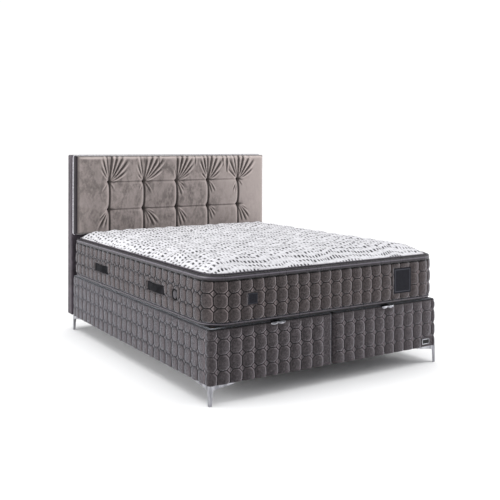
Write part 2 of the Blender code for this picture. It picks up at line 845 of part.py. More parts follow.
def slat_places():
    first = LID_FOOT_Y + LID_FRAME_WIDTH + SLAT_END_MARGIN + SLAT_WIDTH / 2
    last = LID_HEAD_Y - LID_FRAME_WIDTH - SLAT_END_MARGIN - SLAT_WIDTH / 2
    return [first + (last - first) * index / (SLAT_COUNT - 1) for index in range(SLAT_COUNT)]


def slat(name, low, high, y, count=8):
    """A sprung slat: flat on the rails, arched between them up to the mattress."""
    bottom = LID_TOP_Z - SLAT_RECESS
    crown = MATTRESS_Z - SEAT - SLAT_THICKNESS - bottom
    stations = [(low, 0)]
    span = high - low - 2 * SLAT_SEAT_LENGTH
    for index in range(count + 1):
        share = index / count
        lift = crown * (1 - math.cos(2 * math.pi * share)) / 2
        stations.append((low + SLAT_SEAT_LENGTH + span * share, lift))
    stations.append((high, 0))
    rings = []
    for x, lift in stations:
        z = bottom + lift
        rings.append([
            Vector((x, y - SLAT_WIDTH / 2, z)),
            Vector((x, y + SLAT_WIDTH / 2, z)),
            Vector((x, y + SLAT_WIDTH / 2, z + SLAT_THICKNESS)),
            Vector((x, y - SLAT_WIDTH / 2, z + SLAT_THICKNESS)),
        ])
    return loft(name, rings, beech())


def lid_cleat(word, side):
    """A batten inside the foot panel, with rubber buffers that the lid comes down on."""
    top = LID_BOTTOM_Z - BUFFER_HEIGHT - SEAT
    foot = FOOT_Y + WALL + SEAT
    low, high = side * (INNER_X + FRAME_BACK), side * (OUTER_X - FRAME_BACK)
    batten = box("batten", (low, foot, top - CLEAT_HEIGHT), (high, foot + CLEAT_DEPTH, top), beech())
    buffers = []
    for share in BUFFER_SHARES:
        x = low + (high - low) * share
        y = LID_FOOT_Y + BUFFER_RADIUS + FITTING_GAP
        profile = [
            (0, BUFFER_HEIGHT),
            (BUFFER_RADIUS, BUFFER_HEIGHT),
            (BUFFER_RADIUS, -BUFFER_HEIGHT),
            (0, -BUFFER_HEIGHT),
        ]
        buffers.append(settle(turned("buffer", profile, black_plastic(), (x, y, top))))
    return unite("lid_cleat_" + word, batten, buffers)


def handle_profile():
    """The handle's middle line from its seat on the lid to its lip: (y, z, half width, bow)."""
    half = HANDLE_THICKNESS / 2
    seat_z = LID_TOP_Z + SEAT + half
    over_z = RIM_Z + HANDLE_ROOM / 2
    lip_y = FOOT_Y - HANDLE_REACH + half
    strap = HANDLE_STRAP_WIDTH / 2
    wing = HANDLE_WIDTH / 2
    shares = HANDLE_PROFILE_SHARES
    bend = HANDLE_DROP * shares["bend"]
    return [
        (LID_FOOT_Y + HANDLE_SEAT_LENGTH, seat_z, strap, 0),
        (LID_FOOT_Y + half, seat_z, strap, 0),
        (FOOT_Y + WALL + half, over_z, strap, 0),
        (FOOT_Y, over_z, strap, 0),
        (lip_y + bend, over_z, wing * shares["neck"], 0),
        (lip_y, over_z - bend, wing * shares["upper"], HANDLE_BOW),
        (lip_y, over_z - 2 * bend, wing, HANDLE_BOW),
        (lip_y + bend / 2, over_z - HANDLE_DROP, wing * shares["lower"], HANDLE_BOW),
    ]


def lid_handle(word, side, columns=8):
    """A chrome pull: a strap over the rim that ends in a leaf-shaped lip."""
    name = "handle_" + word
    shape = bmesh.new()
    rows = []
    for y, z, half, bow in handle_profile():
        row = []
        for index in range(columns + 1):
            across = 2 * index / columns - 1
            x = side * HANDLE_FROM_SPLIT + across * half
            row.append(shape.verts.new((x, y + bow * across * across, z)))
        rows.append(row)
    for first, second in zip(rows, rows[1:]):
        for i in range(columns):
            shape.faces.new((first[i], first[i + 1], second[i + 1], second[i]))
    item = add_mesh(name, finish_bmesh(name, shape), chrome())
    solid = item.modifiers.new("plate", "SOLIDIFY")
    solid.thickness = HANDLE_THICKNESS
    solid.offset = 0
    solid.use_even_offset = True
    smooth(item)
    return item


# Mattress

def mattress_outline(outset, count=6):
    half = MATTRESS_HALF + outset
    radius = max(MATTRESS_CORNER_RADIUS + outset, BINDING_INSET)
    return rounded_rectangle(-half, half, MATTRESS_FOOT_Y - outset, MATTRESS_HEAD_Y + outset, radius, count)


def mattress_rings(levels):
    """Rings for a loft: each level is (outset, z)."""
    return [[Vector((p.x, p.y, z)) for p in mattress_outline(outset)] for outset, z in levels]


def mattress_core():
    skin = -BORDER_THICKNESS - SEAT
    top = CORE_TOP_Z - SEAT
    soft = BORDER_THICKNESS
    levels = [(skin - soft, MATTRESS_Z), (skin, MATTRESS_Z + soft), (skin, top)]
    return loft("mattress_core", mattress_rings(levels), foam())


def mattress_border():
    """The quilted border: upright behind, swelling a little in front, with sewn-on grips."""
    bottom = MATTRESS_Z + PIPING_HEIGHT + SEAT
    top = BORDER_TOP_Z - TOP_PIPING_HEIGHT - SEAT
    count = 4
    profile = []
    for index in range(count + 1):
        share = index / count
        profile.append((BORDER_BULGE * math.sin(math.pi * share), bottom + (top - bottom) * share))
    profile += [(-BORDER_THICKNESS, top), (-BORDER_THICKNESS, bottom)]
    band = swept_band("border_band", mattress_outline, profile, quilt_grey())
    return unite("mattress_border", band, border_grips())


def border_grips():
    """Grip straps on the long sides of the mattress."""
    middle = MATTRESS_Z + MATTRESS_SIDE_HEIGHT / 2
    length = MATTRESS_HEAD_Y - MATTRESS_FOOT_Y
    grips = []
    for side in SIDES.values():
        inner = side * (MATTRESS_HALF - BORDER_THICKNESS / 2)
        outer = side * (MATTRESS_HALF + BORDER_BULGE + GRIP_THICKNESS)
        for share in GRIP_SHARES:
            y = MATTRESS_FOOT_Y + length * share
            low = (inner, y - GRIP_LENGTH / 2, middle - GRIP_WIDTH / 2)
            high = (outer, y + GRIP_LENGTH / 2, middle + GRIP_WIDTH / 2)
            grips.append(box("grip", low, high, satin_tape()))
    return grips


def piping_band(name, bottom, height, depth):
    """A padded tape: flat at the back, rounded to the front."""
    count = 4
    profile = []
    for index in range(count + 1):
        angle = math.pi * index / count
        profile.append((depth * math.sin(angle), bottom + height * (1 - math.cos(angle)) / 2))
    profile += [(-BORDER_THICKNESS, bottom + height), (-BORDER_THICKNESS, bottom)]
    return swept_band(name, mattress_outline, profile, satin_tape())


def edge_binding():
    """The cord round the knit top, set back from the border."""
    bottom = BINDING_TOP_Z - BINDING_HEIGHT
    middle = BINDING_INSET + BINDING_DEPTH / 2
    count = 6
    profile = []
    for index in range(count):
        angle = 2 * math.pi * index / count
        across = BINDING_DEPTH / 2 * math.cos(angle) - middle
        profile.append((across, bottom + BINDING_HEIGHT * (1 + math.sin(angle)) / 2))
    return swept_band("edge_binding", mattress_outline, profile, satin_tape())


def pillow_top():
    """The crowned knit top, stepped in round its edge for the binding."""
    outer = -BORDER_THICKNESS - SEAT
    edge = -BINDING_INSET - BINDING_DEPTH - SEAT
    levels = [
        (outer, CORE_TOP_Z),
        (outer, PILLOW_SHELF_Z),
        (edge, PILLOW_SHELF_Z),
        (edge, BORDER_TOP_Z),
    ]
    for reach_share, lift_share in zip(CROWN_REACH_SHARES, CROWN_LIFT_SHARES):
        lift = MATTRESS_CROWN * lift_share
        levels.append((edge - CROWN_REACH * reach_share, BINDING_TOP_Z + lift))
    return loft("pillow_top", mattress_rings(levels), knit())


def label(name, width, height, from_side, side):
    """A blank cloth label on the foot end of the mattress border."""
    face = MATTRESS_FOOT_Y - BORDER_BULGE - SEAT
    middle_x = side * (HALF_WIDTH - from_side - width / 2)
    middle_z = MATTRESS_Z + MATTRESS_SIDE_HEIGHT / 2
    low = (middle_x - width / 2, face - LABEL_THICKNESS, middle_z - height / 2)
    high = (middle_x + width / 2, face, middle_z + height / 2)
    return box(name, low, high, black_plastic())


# Headboard

def headboard_panel():
    low = (-HEADBOARD_WIDTH / 2, PANEL_FRONT_Y, LEG_HEIGHT)
    high = (HEADBOARD_WIDTH / 2, PANEL_FRONT_Y + HEADBOARD_DEPTH, HEADBOARD_HEIGHT)
    item = box("headboard_panel", low, high, velvet())
    add_bevel(item, HEADBOARD_EDGE_RADIUS, 3)
    smooth(item)
    return item


def grid_lines(stops, counts):
    """Divide each span between neighbouring stops evenly."""
    lines = [stops[0]]
    for (first, second), count in zip(zip(stops, stops[1:]), counts):
        for index in range(1, count + 1):
            lines.append(first + (second - first) * index / count)
    return lines


def tuft_columns():
    return [TUFT_SPACING * (index - (TUFT_COLUMNS - 1) / 2) for index in range(TUFT_COLUMNS)]


def tuft_rows():
    upper = HEADBOARD_HEIGHT - TUFT_ROW_BELOW_TOP
    return [upper - TUFT_ROW_SPACING, upper]


def falloff(distance, reach):
    return math.exp(-(distance / reach) ** 2)


def cushion_depth(x, z):
    """How far the cushion's face stands in front of the panel at a place."""
    half = CUSHION_WIDTH / 2
    edge = min(half - abs(x), z - CUSHION_BOTTOM_Z, CUSHION_TOP_Z - z)
    share = min(max(edge / CUSHION_EDGE_RADIUS, 0), 1)
    face = CUSHION_DEPTH - CUSHION_SIDE_DEPTH
    depth = CUSHION_SIDE_DEPTH + face * math.sqrt(1 - (1 - share) ** 2)
    height = (z - CUSHION_BOTTOM_Z) / (CUSHION_TOP_Z - CUSHION_BOTTOM_Z)
    depth += CUSHION_CROWN * math.sin(math.pi * min(max(height, 0), 1)) * share
    rows = tuft_rows()
    for row in rows:
        for column in tuft_columns():
            depth -= TUFT_DEPTH * falloff(math.hypot(x - column, z - row), TUFT_REACH)
        if abs(x) < tuft_columns()[-1] + TUFT_REACH:
            depth -= CHANNEL_DEPTH * falloff(z - row, CHANNEL_REACH) * share
    for column in tuft_columns():
        if z < rows[1]:
            depth -= CHANNEL_DEPTH * falloff(x - column, CHANNEL_REACH) * share
    return depth


def headboard_cushion():
    """The tufted pad: a crowned face on drawn-in sides."""
    half = CUSHION_WIDTH / 2
    rows = tuft_rows()
    rim = CUSHION_EDGE_RADIUS
    x_stops = [-half, rim - half] + tuft_columns() + [half - rim, half]
    x_lines = grid_lines(x_stops, [2, 4] + [8] * (TUFT_COLUMNS - 1) + [4, 2])
    z_stops = [CUSHION_BOTTOM_Z, CUSHION_BOTTOM_Z + rim] + rows + [CUSHION_TOP_Z - rim, CUSHION_TOP_Z]
    z_lines = grid_lines(z_stops, [2, 4, 6, 5, 2])
    back_y = PANEL_FRONT_Y - SEAT
    shape = bmesh.new()
    made = bmesh.ops.create_grid(shape, x_segments=len(x_lines) - 1, y_segments=len(z_lines) - 1, size=1)
    ordered = sorted(made["verts"], key=lambda vert: (round(vert.co.y, 5), round(vert.co.x, 5)))
    for index, vert in enumerate(ordered):
        x = x_lines[index % len(x_lines)]
        z = z_lines[index // len(x_lines)]
        vert.co = Vector((x, back_y - cushion_depth(x, z), z))
    rim_edges = [edge for edge in shape.edges if edge.is_boundary]
    sides = bmesh.ops.extrude_edge_only(shape, edges=rim_edges)
    middle_z = (CUSHION_BOTTOM_Z + CUSHION_TOP_Z) / 2
    for vert in [item for item in sides["geom"] if isinstance(item, bmesh.types.BMVert)]:
        vert.co.y = back_y
        if abs(vert.co.x) > half - SEAT:
            vert.co.x -= math.copysign(CUSHION_DRAW_IN, vert.co.x)
        if abs(vert.co.z - middle_z) > (CUSHION_TOP_Z - CUSHION_BOTTOM_Z) / 2 - SEAT:
            vert.co.z -= math.copysign(CUSHION_DRAW_IN, vert.co.z - middle_z)
    open_edges = [edge for edge in shape.edges if edge.is_boundary]
    bmesh.ops.holes_fill(shape, edges=open_edges, sides=0)
    item = add_mesh("headboard_cushion", finish_bmesh("headboard_cushion", shape), velvet())
    smooth(item, 60)
    return item


def headboard_piping():
    """The cord sewn round the back edge of the cushion."""
    clear = 2 * SEAT + CUSHION_PIPING_RADIUS
    out = clear - CUSHION_DRAW_IN
    half = CUSHION_WIDTH / 2 + out
    low, high = CUSHION_BOTTOM_Z - out, CUSHION_TOP_Z + out
    path = rounded_rectangle(-half, half, low, high, clear)
    curve = bpy.data.curves.new("headboard_piping", "CURVE")
    curve.dimensions = "3D"
    curve.bevel_depth = CUSHION_PIPING_RADIUS
    curve.bevel_resolution = 1
    spline = curve.splines.new("POLY")
    spline.points.add(len(path) - 1)
    y = PANEL_FRONT_Y - SEAT - CUSHION_PIPING_RADIUS
    for point, place in zip(spline.points, path):
        point.co = (place.x, y, place.y, 1)
    spline.use_cyclic_u = True
    curve.materials.append(satin_tape())
    item = bpy.data.objects.new("headboard_piping", curve)
    BED.objects.link(item)
    return settle(item)


def foot_badge():
    """A bare metal frame with a black inlay, low on the right box's foot end."""
    middle_x = HALF_WIDTH - BADGE_FROM_SIDE
    middle_z = LEG_HEIGHT + BADGE_ABOVE_BOTTOM
    loops = []
    for inset in (0, BADGE_FRAME, BADGE_FRAME + SEAT):
        half_x, half_z = BADGE_WIDTH / 2 - inset, BADGE_HEIGHT / 2 - inset
        radius = BADGE_CORNER - inset / 2
        loops.append(rounded_rectangle(
            middle_x - half_x, middle_x + half_x, middle_z - half_z, middle_z + half_z, radius
        ))
    face = FOOT_Y - SEAT
    flat_plate("plate_frame", loops[0], [loops[1]], BADGE_THICKNESS, chrome(), face - BADGE_THICKNESS, "Y")
    start = face - BADGE_INLAY_THICKNESS
    flat_plate("plate_inlay", loops[2], [], BADGE_INLAY_THICKNESS, black_plastic(), start, "Y")


def build():
    for word, side in SIDES.items():
        box_cover(word, side)
        box_panels(word, side)
        corner_leg("corner_leg_front_" + word, side, FOOT_Y + LEG_INSET, 1)
        corner_leg("corner_leg_rear_" + word, side, HEAD_Y - LEG_INSET, -1)
        lid_frame(word, side)
        lid_cleat(word, side)
        lid_handle(word, side)
    centre_legs()
    lift_fittings()
    mattress_core()
    mattress_border()
    piping_band("piping_bottom", MATTRESS_Z, PIPING_HEIGHT, PIPING_DEPTH)
    piping_band("piping_top", BORDER_TOP_Z - TOP_PIPING_HEIGHT, TOP_PIPING_HEIGHT, PIPING_DEPTH)
    edge_binding()
    pillow_top()
    label("label_small", SMALL_LABEL_WIDTH, SMALL_LABEL_HEIGHT, SMALL_LABEL_FROM_SIDE, -1)
    label("label_large", LARGE_LABEL_WIDTH, LARGE_LABEL_HEIGHT, LARGE_LABEL_FROM_SIDE, 1)
    headboard_panel()
    headboard_cushion()
    headboard_piping()
    foot_badge()


clear_scene()
BED = make_collection("storage_bed")
build()
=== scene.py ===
"""Studio scene for the storage bed.

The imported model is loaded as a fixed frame, its soft parts are dressed in quilted cloth, and a
plain studio is set round it. Metres, in the frame's own axes: X across the bed, +Y towards the
headboard, +Z up.
"""
import math
from contextlib import contextmanager

import bpy
import numpy as np
from bpy.props import FloatProperty, FloatVectorProperty, IntProperty, PointerProperty
from mathutils import Matrix, Vector


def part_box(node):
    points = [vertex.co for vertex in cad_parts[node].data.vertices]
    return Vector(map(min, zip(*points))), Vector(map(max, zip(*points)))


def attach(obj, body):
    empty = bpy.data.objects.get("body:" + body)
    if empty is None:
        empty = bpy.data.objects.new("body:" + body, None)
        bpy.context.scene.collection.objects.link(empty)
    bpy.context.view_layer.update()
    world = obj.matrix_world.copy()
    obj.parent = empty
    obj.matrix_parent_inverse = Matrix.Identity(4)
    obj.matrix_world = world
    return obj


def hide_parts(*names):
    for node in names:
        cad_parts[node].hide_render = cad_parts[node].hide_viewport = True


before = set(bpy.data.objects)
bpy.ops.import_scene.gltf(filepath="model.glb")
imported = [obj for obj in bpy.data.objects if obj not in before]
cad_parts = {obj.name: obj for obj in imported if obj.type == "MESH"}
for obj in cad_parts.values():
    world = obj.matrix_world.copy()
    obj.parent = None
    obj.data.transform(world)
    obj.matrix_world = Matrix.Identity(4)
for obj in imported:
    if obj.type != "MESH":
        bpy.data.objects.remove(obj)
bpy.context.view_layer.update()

bl_info = {
    "name": "Storage bed studio",
    "version": (1, 0, 0),
    "blender": (4, 5, 0),
    "location": "3D View > Sidebar > Bed",
    "description": "Dresses the packed storage bed and sets a plain studio round it",
    "category": "Object",
}

SIDES = {"left": -1, "right": 1}
WELD = 0.00004    # points closer than this are one


def tone(red, green, blue):
    """A linear colour from the three numbers of a screen colour, each 0 to 255."""
    linear = []
    for level in (red, green, blue):
        share = level / 255
        linear.append(share / 12.92 if share <= 0.04045 else ((share + 0.055) / 1.055) ** 2.4)
    return tuple(linear)


# Sizes and colours

def length(name, text, default):
    return FloatProperty(name=name, description=text, default=default, min=0, unit="LENGTH")


def place(name, text, default):
    """A place along the bed, which may lie on either side of its middle."""
    return FloatProperty(name=name, description=text, default=default, unit="LENGTH")


def angle(name, text, degrees):
    return FloatProperty(name=name, description=text, default=math.radians(degrees), subtype="ANGLE")


def colour(name, text, red, green, blue):
    return FloatVectorProperty(
        name=name, description=text, default=tone(red, green, blue), size=3, min=0, max=1, subtype="COLOR"
    )


class BedQuiltSizes(bpy.types.PropertyGroup):
    base_cell_width: length("Box cell width", "Width of one quilted cell on the boxes", 0.0761)
    base_cell_height: length("Box cell height", "Height of one quilted cell on the boxes", 0.0810)
    border_cell_width: length("Border cell width", "Width of one cell on the mattress border", 0.0746)
    border_cell_height: length("Border cell height", "Height of one cell on the mattress border", 0.0770)
    base_puff: length("Box puff", "How far a cell swells on the boxes", 0.0085)
    border_puff: length("Border puff", "How far a cell swells on the mattress border", 0.0105)
    diamond: length("Diamond", "Half the width of the small diamond where four cells meet", 0.0190)
    corner: length("Cell corner", "How softly the seams of a cell turn", 0.0036)
    seam: length("Seam", "Half the width of a seam's dark line on the foot side", 0.0034)
    side_seam: length("Side seam", "Half the width of a seam's dark line on the long sides", 0.0058)
    plain_strip: length("Plain strip", "Width of the unquilted strip at a box's right end", 0.0673)


class BedTopSizes(bpy.types.PropertyGroup):
    puff: length("Top puff", "How far the quilting of the knit top swells", 0.0165)
    puff_width: length("Puff width", "Width of one swelling of the knit top", 0.110)
    puff_length: length("Puff length", "Length of one swelling of the knit top", 0.190)
    dot_across: length("Dot pitch across", "Distance between the knit's dots across the bed", 0.0225)
    dot_along: length("Dot pitch along", "Distance between the knit's dots along the bed", 0.046)


class BedTrimSizes(bpy.types.PropertyGroup):
    grip_length: length("Grip length", "Length of a side grip", 0.220)
    grip_height: length("Grip height", "Height of a side grip's strap", 0.052)
    grip_thickness: length("Grip thickness", "Thickness of a side grip's strap", 0.0030)
    grip_bow: length("Grip bow", "How far a side grip stands off the border", 0.0090)
    grip_level: length("Grip level", "Height of the grips' and vents' middle above the floor", 0.516)
    grip_first: place("First grip", "Place of the foot-end grips along the bed", -0.420)
    grip_second: place("Second grip", "Place of the head-end grips along the bed", 0.405)
    vent_place: place("Vent", "Place of the vents along the bed", -0.656)
    vent_radius: length("Vent radius", "Radius of a vent's ring", 0.0285)
    vent_rim: length("Vent rim", "Half the width of a vent's ring", 0.0050)
    screw_radius: length("Screw head", "Radius of a screw head", 0.0050)
    screw_height: length("Screw height", "Height of a screw head", 0.0024)
    pull_drop: length("Pull drop", "Height of a pull's lip", 0.0150)
    pull_reach: length("Pull reach", "How far a pull stands in front of the box", 0.0240)
    pull_half: length("Pull half width", "Half the width of a pull's lip", 0.0480)


class BedHeadboardSizes(bpy.types.PropertyGroup):
    columns: IntProperty(name="Tuft columns", description="Tufts side by side", default=5, min=1)
    spacing: length("Tuft spacing", "Distance between neighbouring tufts", 0.276)
    row_spacing: length("Row spacing", "Distance between the two rows of tufts", 0.203)
    below_top: length("Top row", "Distance from the headboard's top to the upper tufts", 0.198)
    tuft: length("Tuft depth", "How deep a tuft is pulled in", 0.034)
    crease: length("Crease depth", "How deep the upright creases are", 0.0150)
    pleat: length("Pleat height", "How far the fan pleats stand out", 0.0130)


class BedFinishes(bpy.types.PropertyGroup):
    base_velour: colour("Box velour", "Quilted velour of the boxes", 68, 63, 65)
    # warmer cells at random; the shader paints this tint stronger towards each cell's right side, as a
    # painted highlight
    base_warm: colour("Box velour, warm cells", "Warmer cells of the boxes, painted lighter towards their right side", 72, 66, 66)
    border_velour: colour("Border velour", "Quilted velour of the mattress border", 69, 63, 63)
    border_warm: colour("Border velour, warm", "Warmer cells of the mattress border", 86, 77, 75)
    velvet: colour("Headboard velvet", "Velvet of the headboard", 140, 131, 128)
    tape: colour("Tape", "Satin tape of the mattress edges", 56, 50, 58)
    cord: colour("Headboard cord", "Cord sewn round the headboard's pad", 205, 203, 208)
    knit: colour("Knit", "White knit of the mattress top", 221, 220, 224)
    knit_dot: colour("Knit dots", "Dark holes in the knit", 44, 43, 48)
    floor: colour("Floor", "Studio floor", 255, 255, 255)


class BedStudio(bpy.types.PropertyGroup):
    camera: FloatVectorProperty(
        name="Camera", description="Where the camera stands", default=(-2.773, -4.512, 1.334),
        size=3, subtype="TRANSLATION", unit="LENGTH",
    )
    turn: angle("Turn", "Camera turn to the right of +Y", 32.45)
    roll: angle("Roll", "Camera roll", 0.12)
    lens: FloatProperty(name="Lens", description="Focal length in millimetres", default=56.61, min=1)
    rise: FloatProperty(name="Shift", description="Upward shift of the lens", default=-0.2094)


GROUPS = {
    "bed_quilt": BedQuiltSizes,
    "bed_top": BedTopSizes,
    "bed_trim": BedTrimSizes,
    "bed_headboard": BedHeadboardSizes,
    "bed_finishes": BedFinishes,
    "bed_studio": BedStudio,
}


# Shader building

class Value:
    """One number of a shader; sums on it are written out as Math nodes."""

    def __init__(self, look, socket):
        self.look = look
        self.socket = socket

    def __add__(self, other):
        return self.look.maths("ADD", self, other)

    def __sub__(self, other):
        return self.look.maths("SUBTRACT", self, other)

    def __rsub__(self, other):
        return self.look.maths("SUBTRACT", other, self)

    def __mul__(self, other):
        return self.look.maths("MULTIPLY", self, other)

    def __truediv__(self, other):
        return self.look.maths("DIVIDE", self, other)

    def __abs__(self):
        return self.look.maths("ABSOLUTE", self)

    __radd__ = __add__
    __rmul__ = __mul__


class Look:
    """A finish being mixed on one shader; keywords set the shader's own sockets."""

    def __init__(self, name, **sockets):
        self.material = bpy.data.materials.new(name)
        self.material.use_nodes = True
        self.tree = self.material.node_tree
        self.shader = self.tree.nodes["Principled BSDF"]
        for key, value in sockets.items():
            self.join(self.shader.inputs[key.replace("_", " ").title().replace("Ior", "IOR")], value)

    def join(self, socket, value):
        if isinstance(value, Value):
            value = value.socket
        if isinstance(value, bpy.types.NodeSocket):
            self.tree.links.new(value, socket)
        elif socket.type == "RGBA":
            socket.default_value = (*value[:3], 1)
        else:
            socket.default_value = value

    def node(self, kind, settings=None, sockets=None):
        made = self.tree.nodes.new(kind)
        for key, value in (settings or {}).items():
            setattr(made, key, value)
        for key, value in (sockets or {}).items():
            self.join(made.inputs[key], value)
        return made

    def value(self, node, output=0):
        return Value(self, node.outputs[output])

    def maths(self, operation, *values):
        return self.value(self.node("ShaderNodeMath", {"operation": operation}, dict(enumerate(values))))

    def smooth(self, value, low, high, first=0.0, last=1.0):
        """A soft step from first to last as value goes from low to high."""
        places = {"Value": value, "From Min": low, "From Max": high, "To Min": first, "To Max": last}
        return self.value(self.node("ShaderNodeMapRange", {"interpolation_type": "SMOOTHSTEP"}, places))

    def mix(self, factor, first, second, blend="MIX"):
        settings = {"data_type": "RGBA", "blend_type": blend}
        return self.node("ShaderNodeMix", settings, {0: factor, 6: first, 7: second}).outputs[2]

    def layered(self, body, plain, coats):
        """Coats laid over body: how much each covers, and its colour or its shade of plain."""
        for cover, coat in coats:
            body = self.mix(cover, body, shade(plain, coat) if isinstance(coat, float) else coat)
        return body

    def place(self, kind="Object"):
        return self.node("ShaderNodeTexCoord").outputs[kind]

    def stretched(self, vector, scale):
        return self.node("ShaderNodeMapping", None, {"Vector": vector, "Scale": scale}).outputs[0]

    def parts(self, vector):
        split = self.node("ShaderNodeSeparateXYZ", None, {0: vector})
        return [self.value(split, index) for index in range(3)]

    def noise(self, vector, scale, detail=2.0, rough=0.5, bend=0.0):
        sockets = {"Vector": vector, "Scale": scale, "Detail": detail, "Roughness": rough,
                   "Distortion": bend}
        return self.value(self.node("ShaderNodeTexNoise", None, sockets))

    def cells(self, vector, scale, feature="F1"):
        sockets = {"Vector": vector, "Scale": scale}
        return self.value(self.node("ShaderNodeTexVoronoi", {"feature": feature}, sockets))

    def own(self, name):
        """A number that the piece itself carries at each point."""
        return self.value(self.node("ShaderNodeAttribute", {"attribute_name": name}), 2)

    def relief(self, height, distance, strength=1.0, under=None):
        sockets = {"Height": height, "Distance": distance, "Strength": strength}
        if under is not None:
            sockets["Normal"] = under
        return self.node("ShaderNodeBump", None, sockets).outputs[0]

    def done(self, colour=None, roughness=None, normal=None, coat=None):
        wanted = {"Base Color": colour, "Roughness": roughness, "Normal": normal, "Coat Weight": coat}
        for key, value in wanted.items():
            if value is not None:
                self.join(self.shader.inputs[key], value)
        return self.material


# Finishes

def shade(colour, by):
    return tuple(min(level * by, 1.0) for level in colour[:3])


def seam_places(look, sizes, width, height):
    """Distance to the nearest seam, and whether a place is in a cell or in a small diamond."""
    across, up, _ = look.parts(look.place("UV"))
    beside = abs(across - look.maths("ROUND", across)) * width
    above = abs(up - look.maths("ROUND", up)) * height
    slant = (beside + above - sizes.diamond) * math.sqrt(0.5)
    near = look.maths("SMOOTH_MIN", beside, above, sizes.corner)
    cell = look.maths("SMOOTH_MIN", near, slant, sizes.corner)
    return look.maths("MAXIMUM", cell, slant * -1), cell


def heather(look, spot, plain, warm, tint):
    """Colour and relief of a mottled velour; tint says where it is warm."""
    nap = look.noise(spot, 300, 3, 0.7)
    brushed = look.noise(spot, 7.5, 2, 0.5, 0.4)
    mottle = look.noise(spot, 105, 4, 0.75)
    body = look.layered(shade(plain, 0.93), plain, [
        (look.smooth(brushed, 0.35, 0.65), 1.10),
        (tint, warm),
        (look.smooth(mottle, 0.50, 0.62) * 0.60, 2.6),
        (look.smooth(mottle, 0.50, 0.38) * 0.70, 0.30),
        (look.smooth(nap, 0.44, 0.60) * 0.3, 0.45),
    ])
    return body, look.relief(nap, 0.0012, 0.5, look.relief(mottle, 0.006, 0.7))


def stitched(look, body, plain, sizes, distance, cell, part, front, quilted):
    """Cells with painted shade on their left and a painted highlight on their right, a painted highlight
    line along their right edge on the foot side, light diamonds and dark seams, on the quilted part of a
    cloth.
    """
    wide = front * (sizes.seam - sizes.side_seam) + sizes.side_seam
    line = look.smooth(distance, wide * 0.3, wide, 1.0, 0.0) * quilted
    diamond = look.smooth(cell, -0.0020, -0.0050) * quilted
    # the right part of each cell, where the painted highlights go
    right = look.smooth(part, 0.45, 0.85)
    slope = look.smooth(distance, wide * 0.7, wide * 1.1) * look.smooth(distance, 0.0060, 0.0110, 1.0, 0.0)
    return look.layered(body, plain, [
        (diamond * 0.40, 2.4),
        # painted shade on the left part of each cell
        (look.smooth(part, 0.7, 0.0) * 0.38 * quilted, 0.45),
        # painted highlight on the right part of each cell
        (right * 0.40 * quilted, 2.2),
        # painted highlight line along each cell's right edge, on the foot side
        (slope * (right * 0.50 + 0.06) * front * quilted, 5.0),
        (line * 0.95, 0.10),
    ])


def quilted_velour(name, plain, warm, width, height, warm_share, sheen, foot, shadow_levels):
    """Heather velour in quilted cells of a width and height.

    foot is the y of the foot side, which is shaded apart from the long sides and painted lighter towards its
    right and darker towards its left, and shadow_levels lists the levels of painted shadow beside a tape or
    under the mattress's edge, with their reach.
    """
    sizes = bpy.context.scene.bed_quilt
    look = Look(name, roughness=0.9, sheen_weight=sheen, sheen_roughness=0.34,
                sheen_tint=(0.79, 0.81, 0.89), specular_ior_level=0.15)
    distance, cell = seam_places(look, sizes, width, height)
    quilted = look.own("quilted")
    spot = look.place()
    across, up, _ = look.parts(look.place("UV"))
    column, row = look.maths("FLOOR", across), look.maths("FLOOR", up)
    part = across - column
    which = look.node("ShaderNodeCombineXYZ", None, {0: column, 1: row})
    chance = look.value(look.node("ShaderNodeTexWhiteNoise", None, {"Vector": which.outputs[0]}))
    # the warm tint falls on cells at random and grows towards each cell's right side, as a painted highlight
    side = look.smooth(part, 0.15, 0.85, 0.25, 1.0)
    tint = look.smooth(chance, 0.45, 0.95) * side * warm_share * look.smooth(cell, 0.0, 0.006) * quilted
    body, fuzz = heather(look, spot, plain, warm, tint)
    x, y, z = look.parts(spot)
    front = look.smooth(y, foot + 0.10, foot + 0.03)
    # painted light: the foot side is lighter towards the right and darker towards the left
    body = look.layered(body, plain, [
        (look.smooth(x, -0.3, 0.9) * front * 0.30, 2.3),
        (look.smooth(x, -0.2, -0.9) * front * 0.25, 0.5),
    ])
    body = stitched(look, body, plain, sizes, distance, cell, part, front, quilted)
    # painted shadow: near-black bands at the given levels, beside a tape or under the mattress's edge
    painted_shadows = [(look.smooth(abs(z - level), reach, reach * 0.45) * 0.93, 0.06) for level, reach in shadow_levels]
    return look.done(colour=look.layered(body, plain, painted_shadows), normal=fuzz)


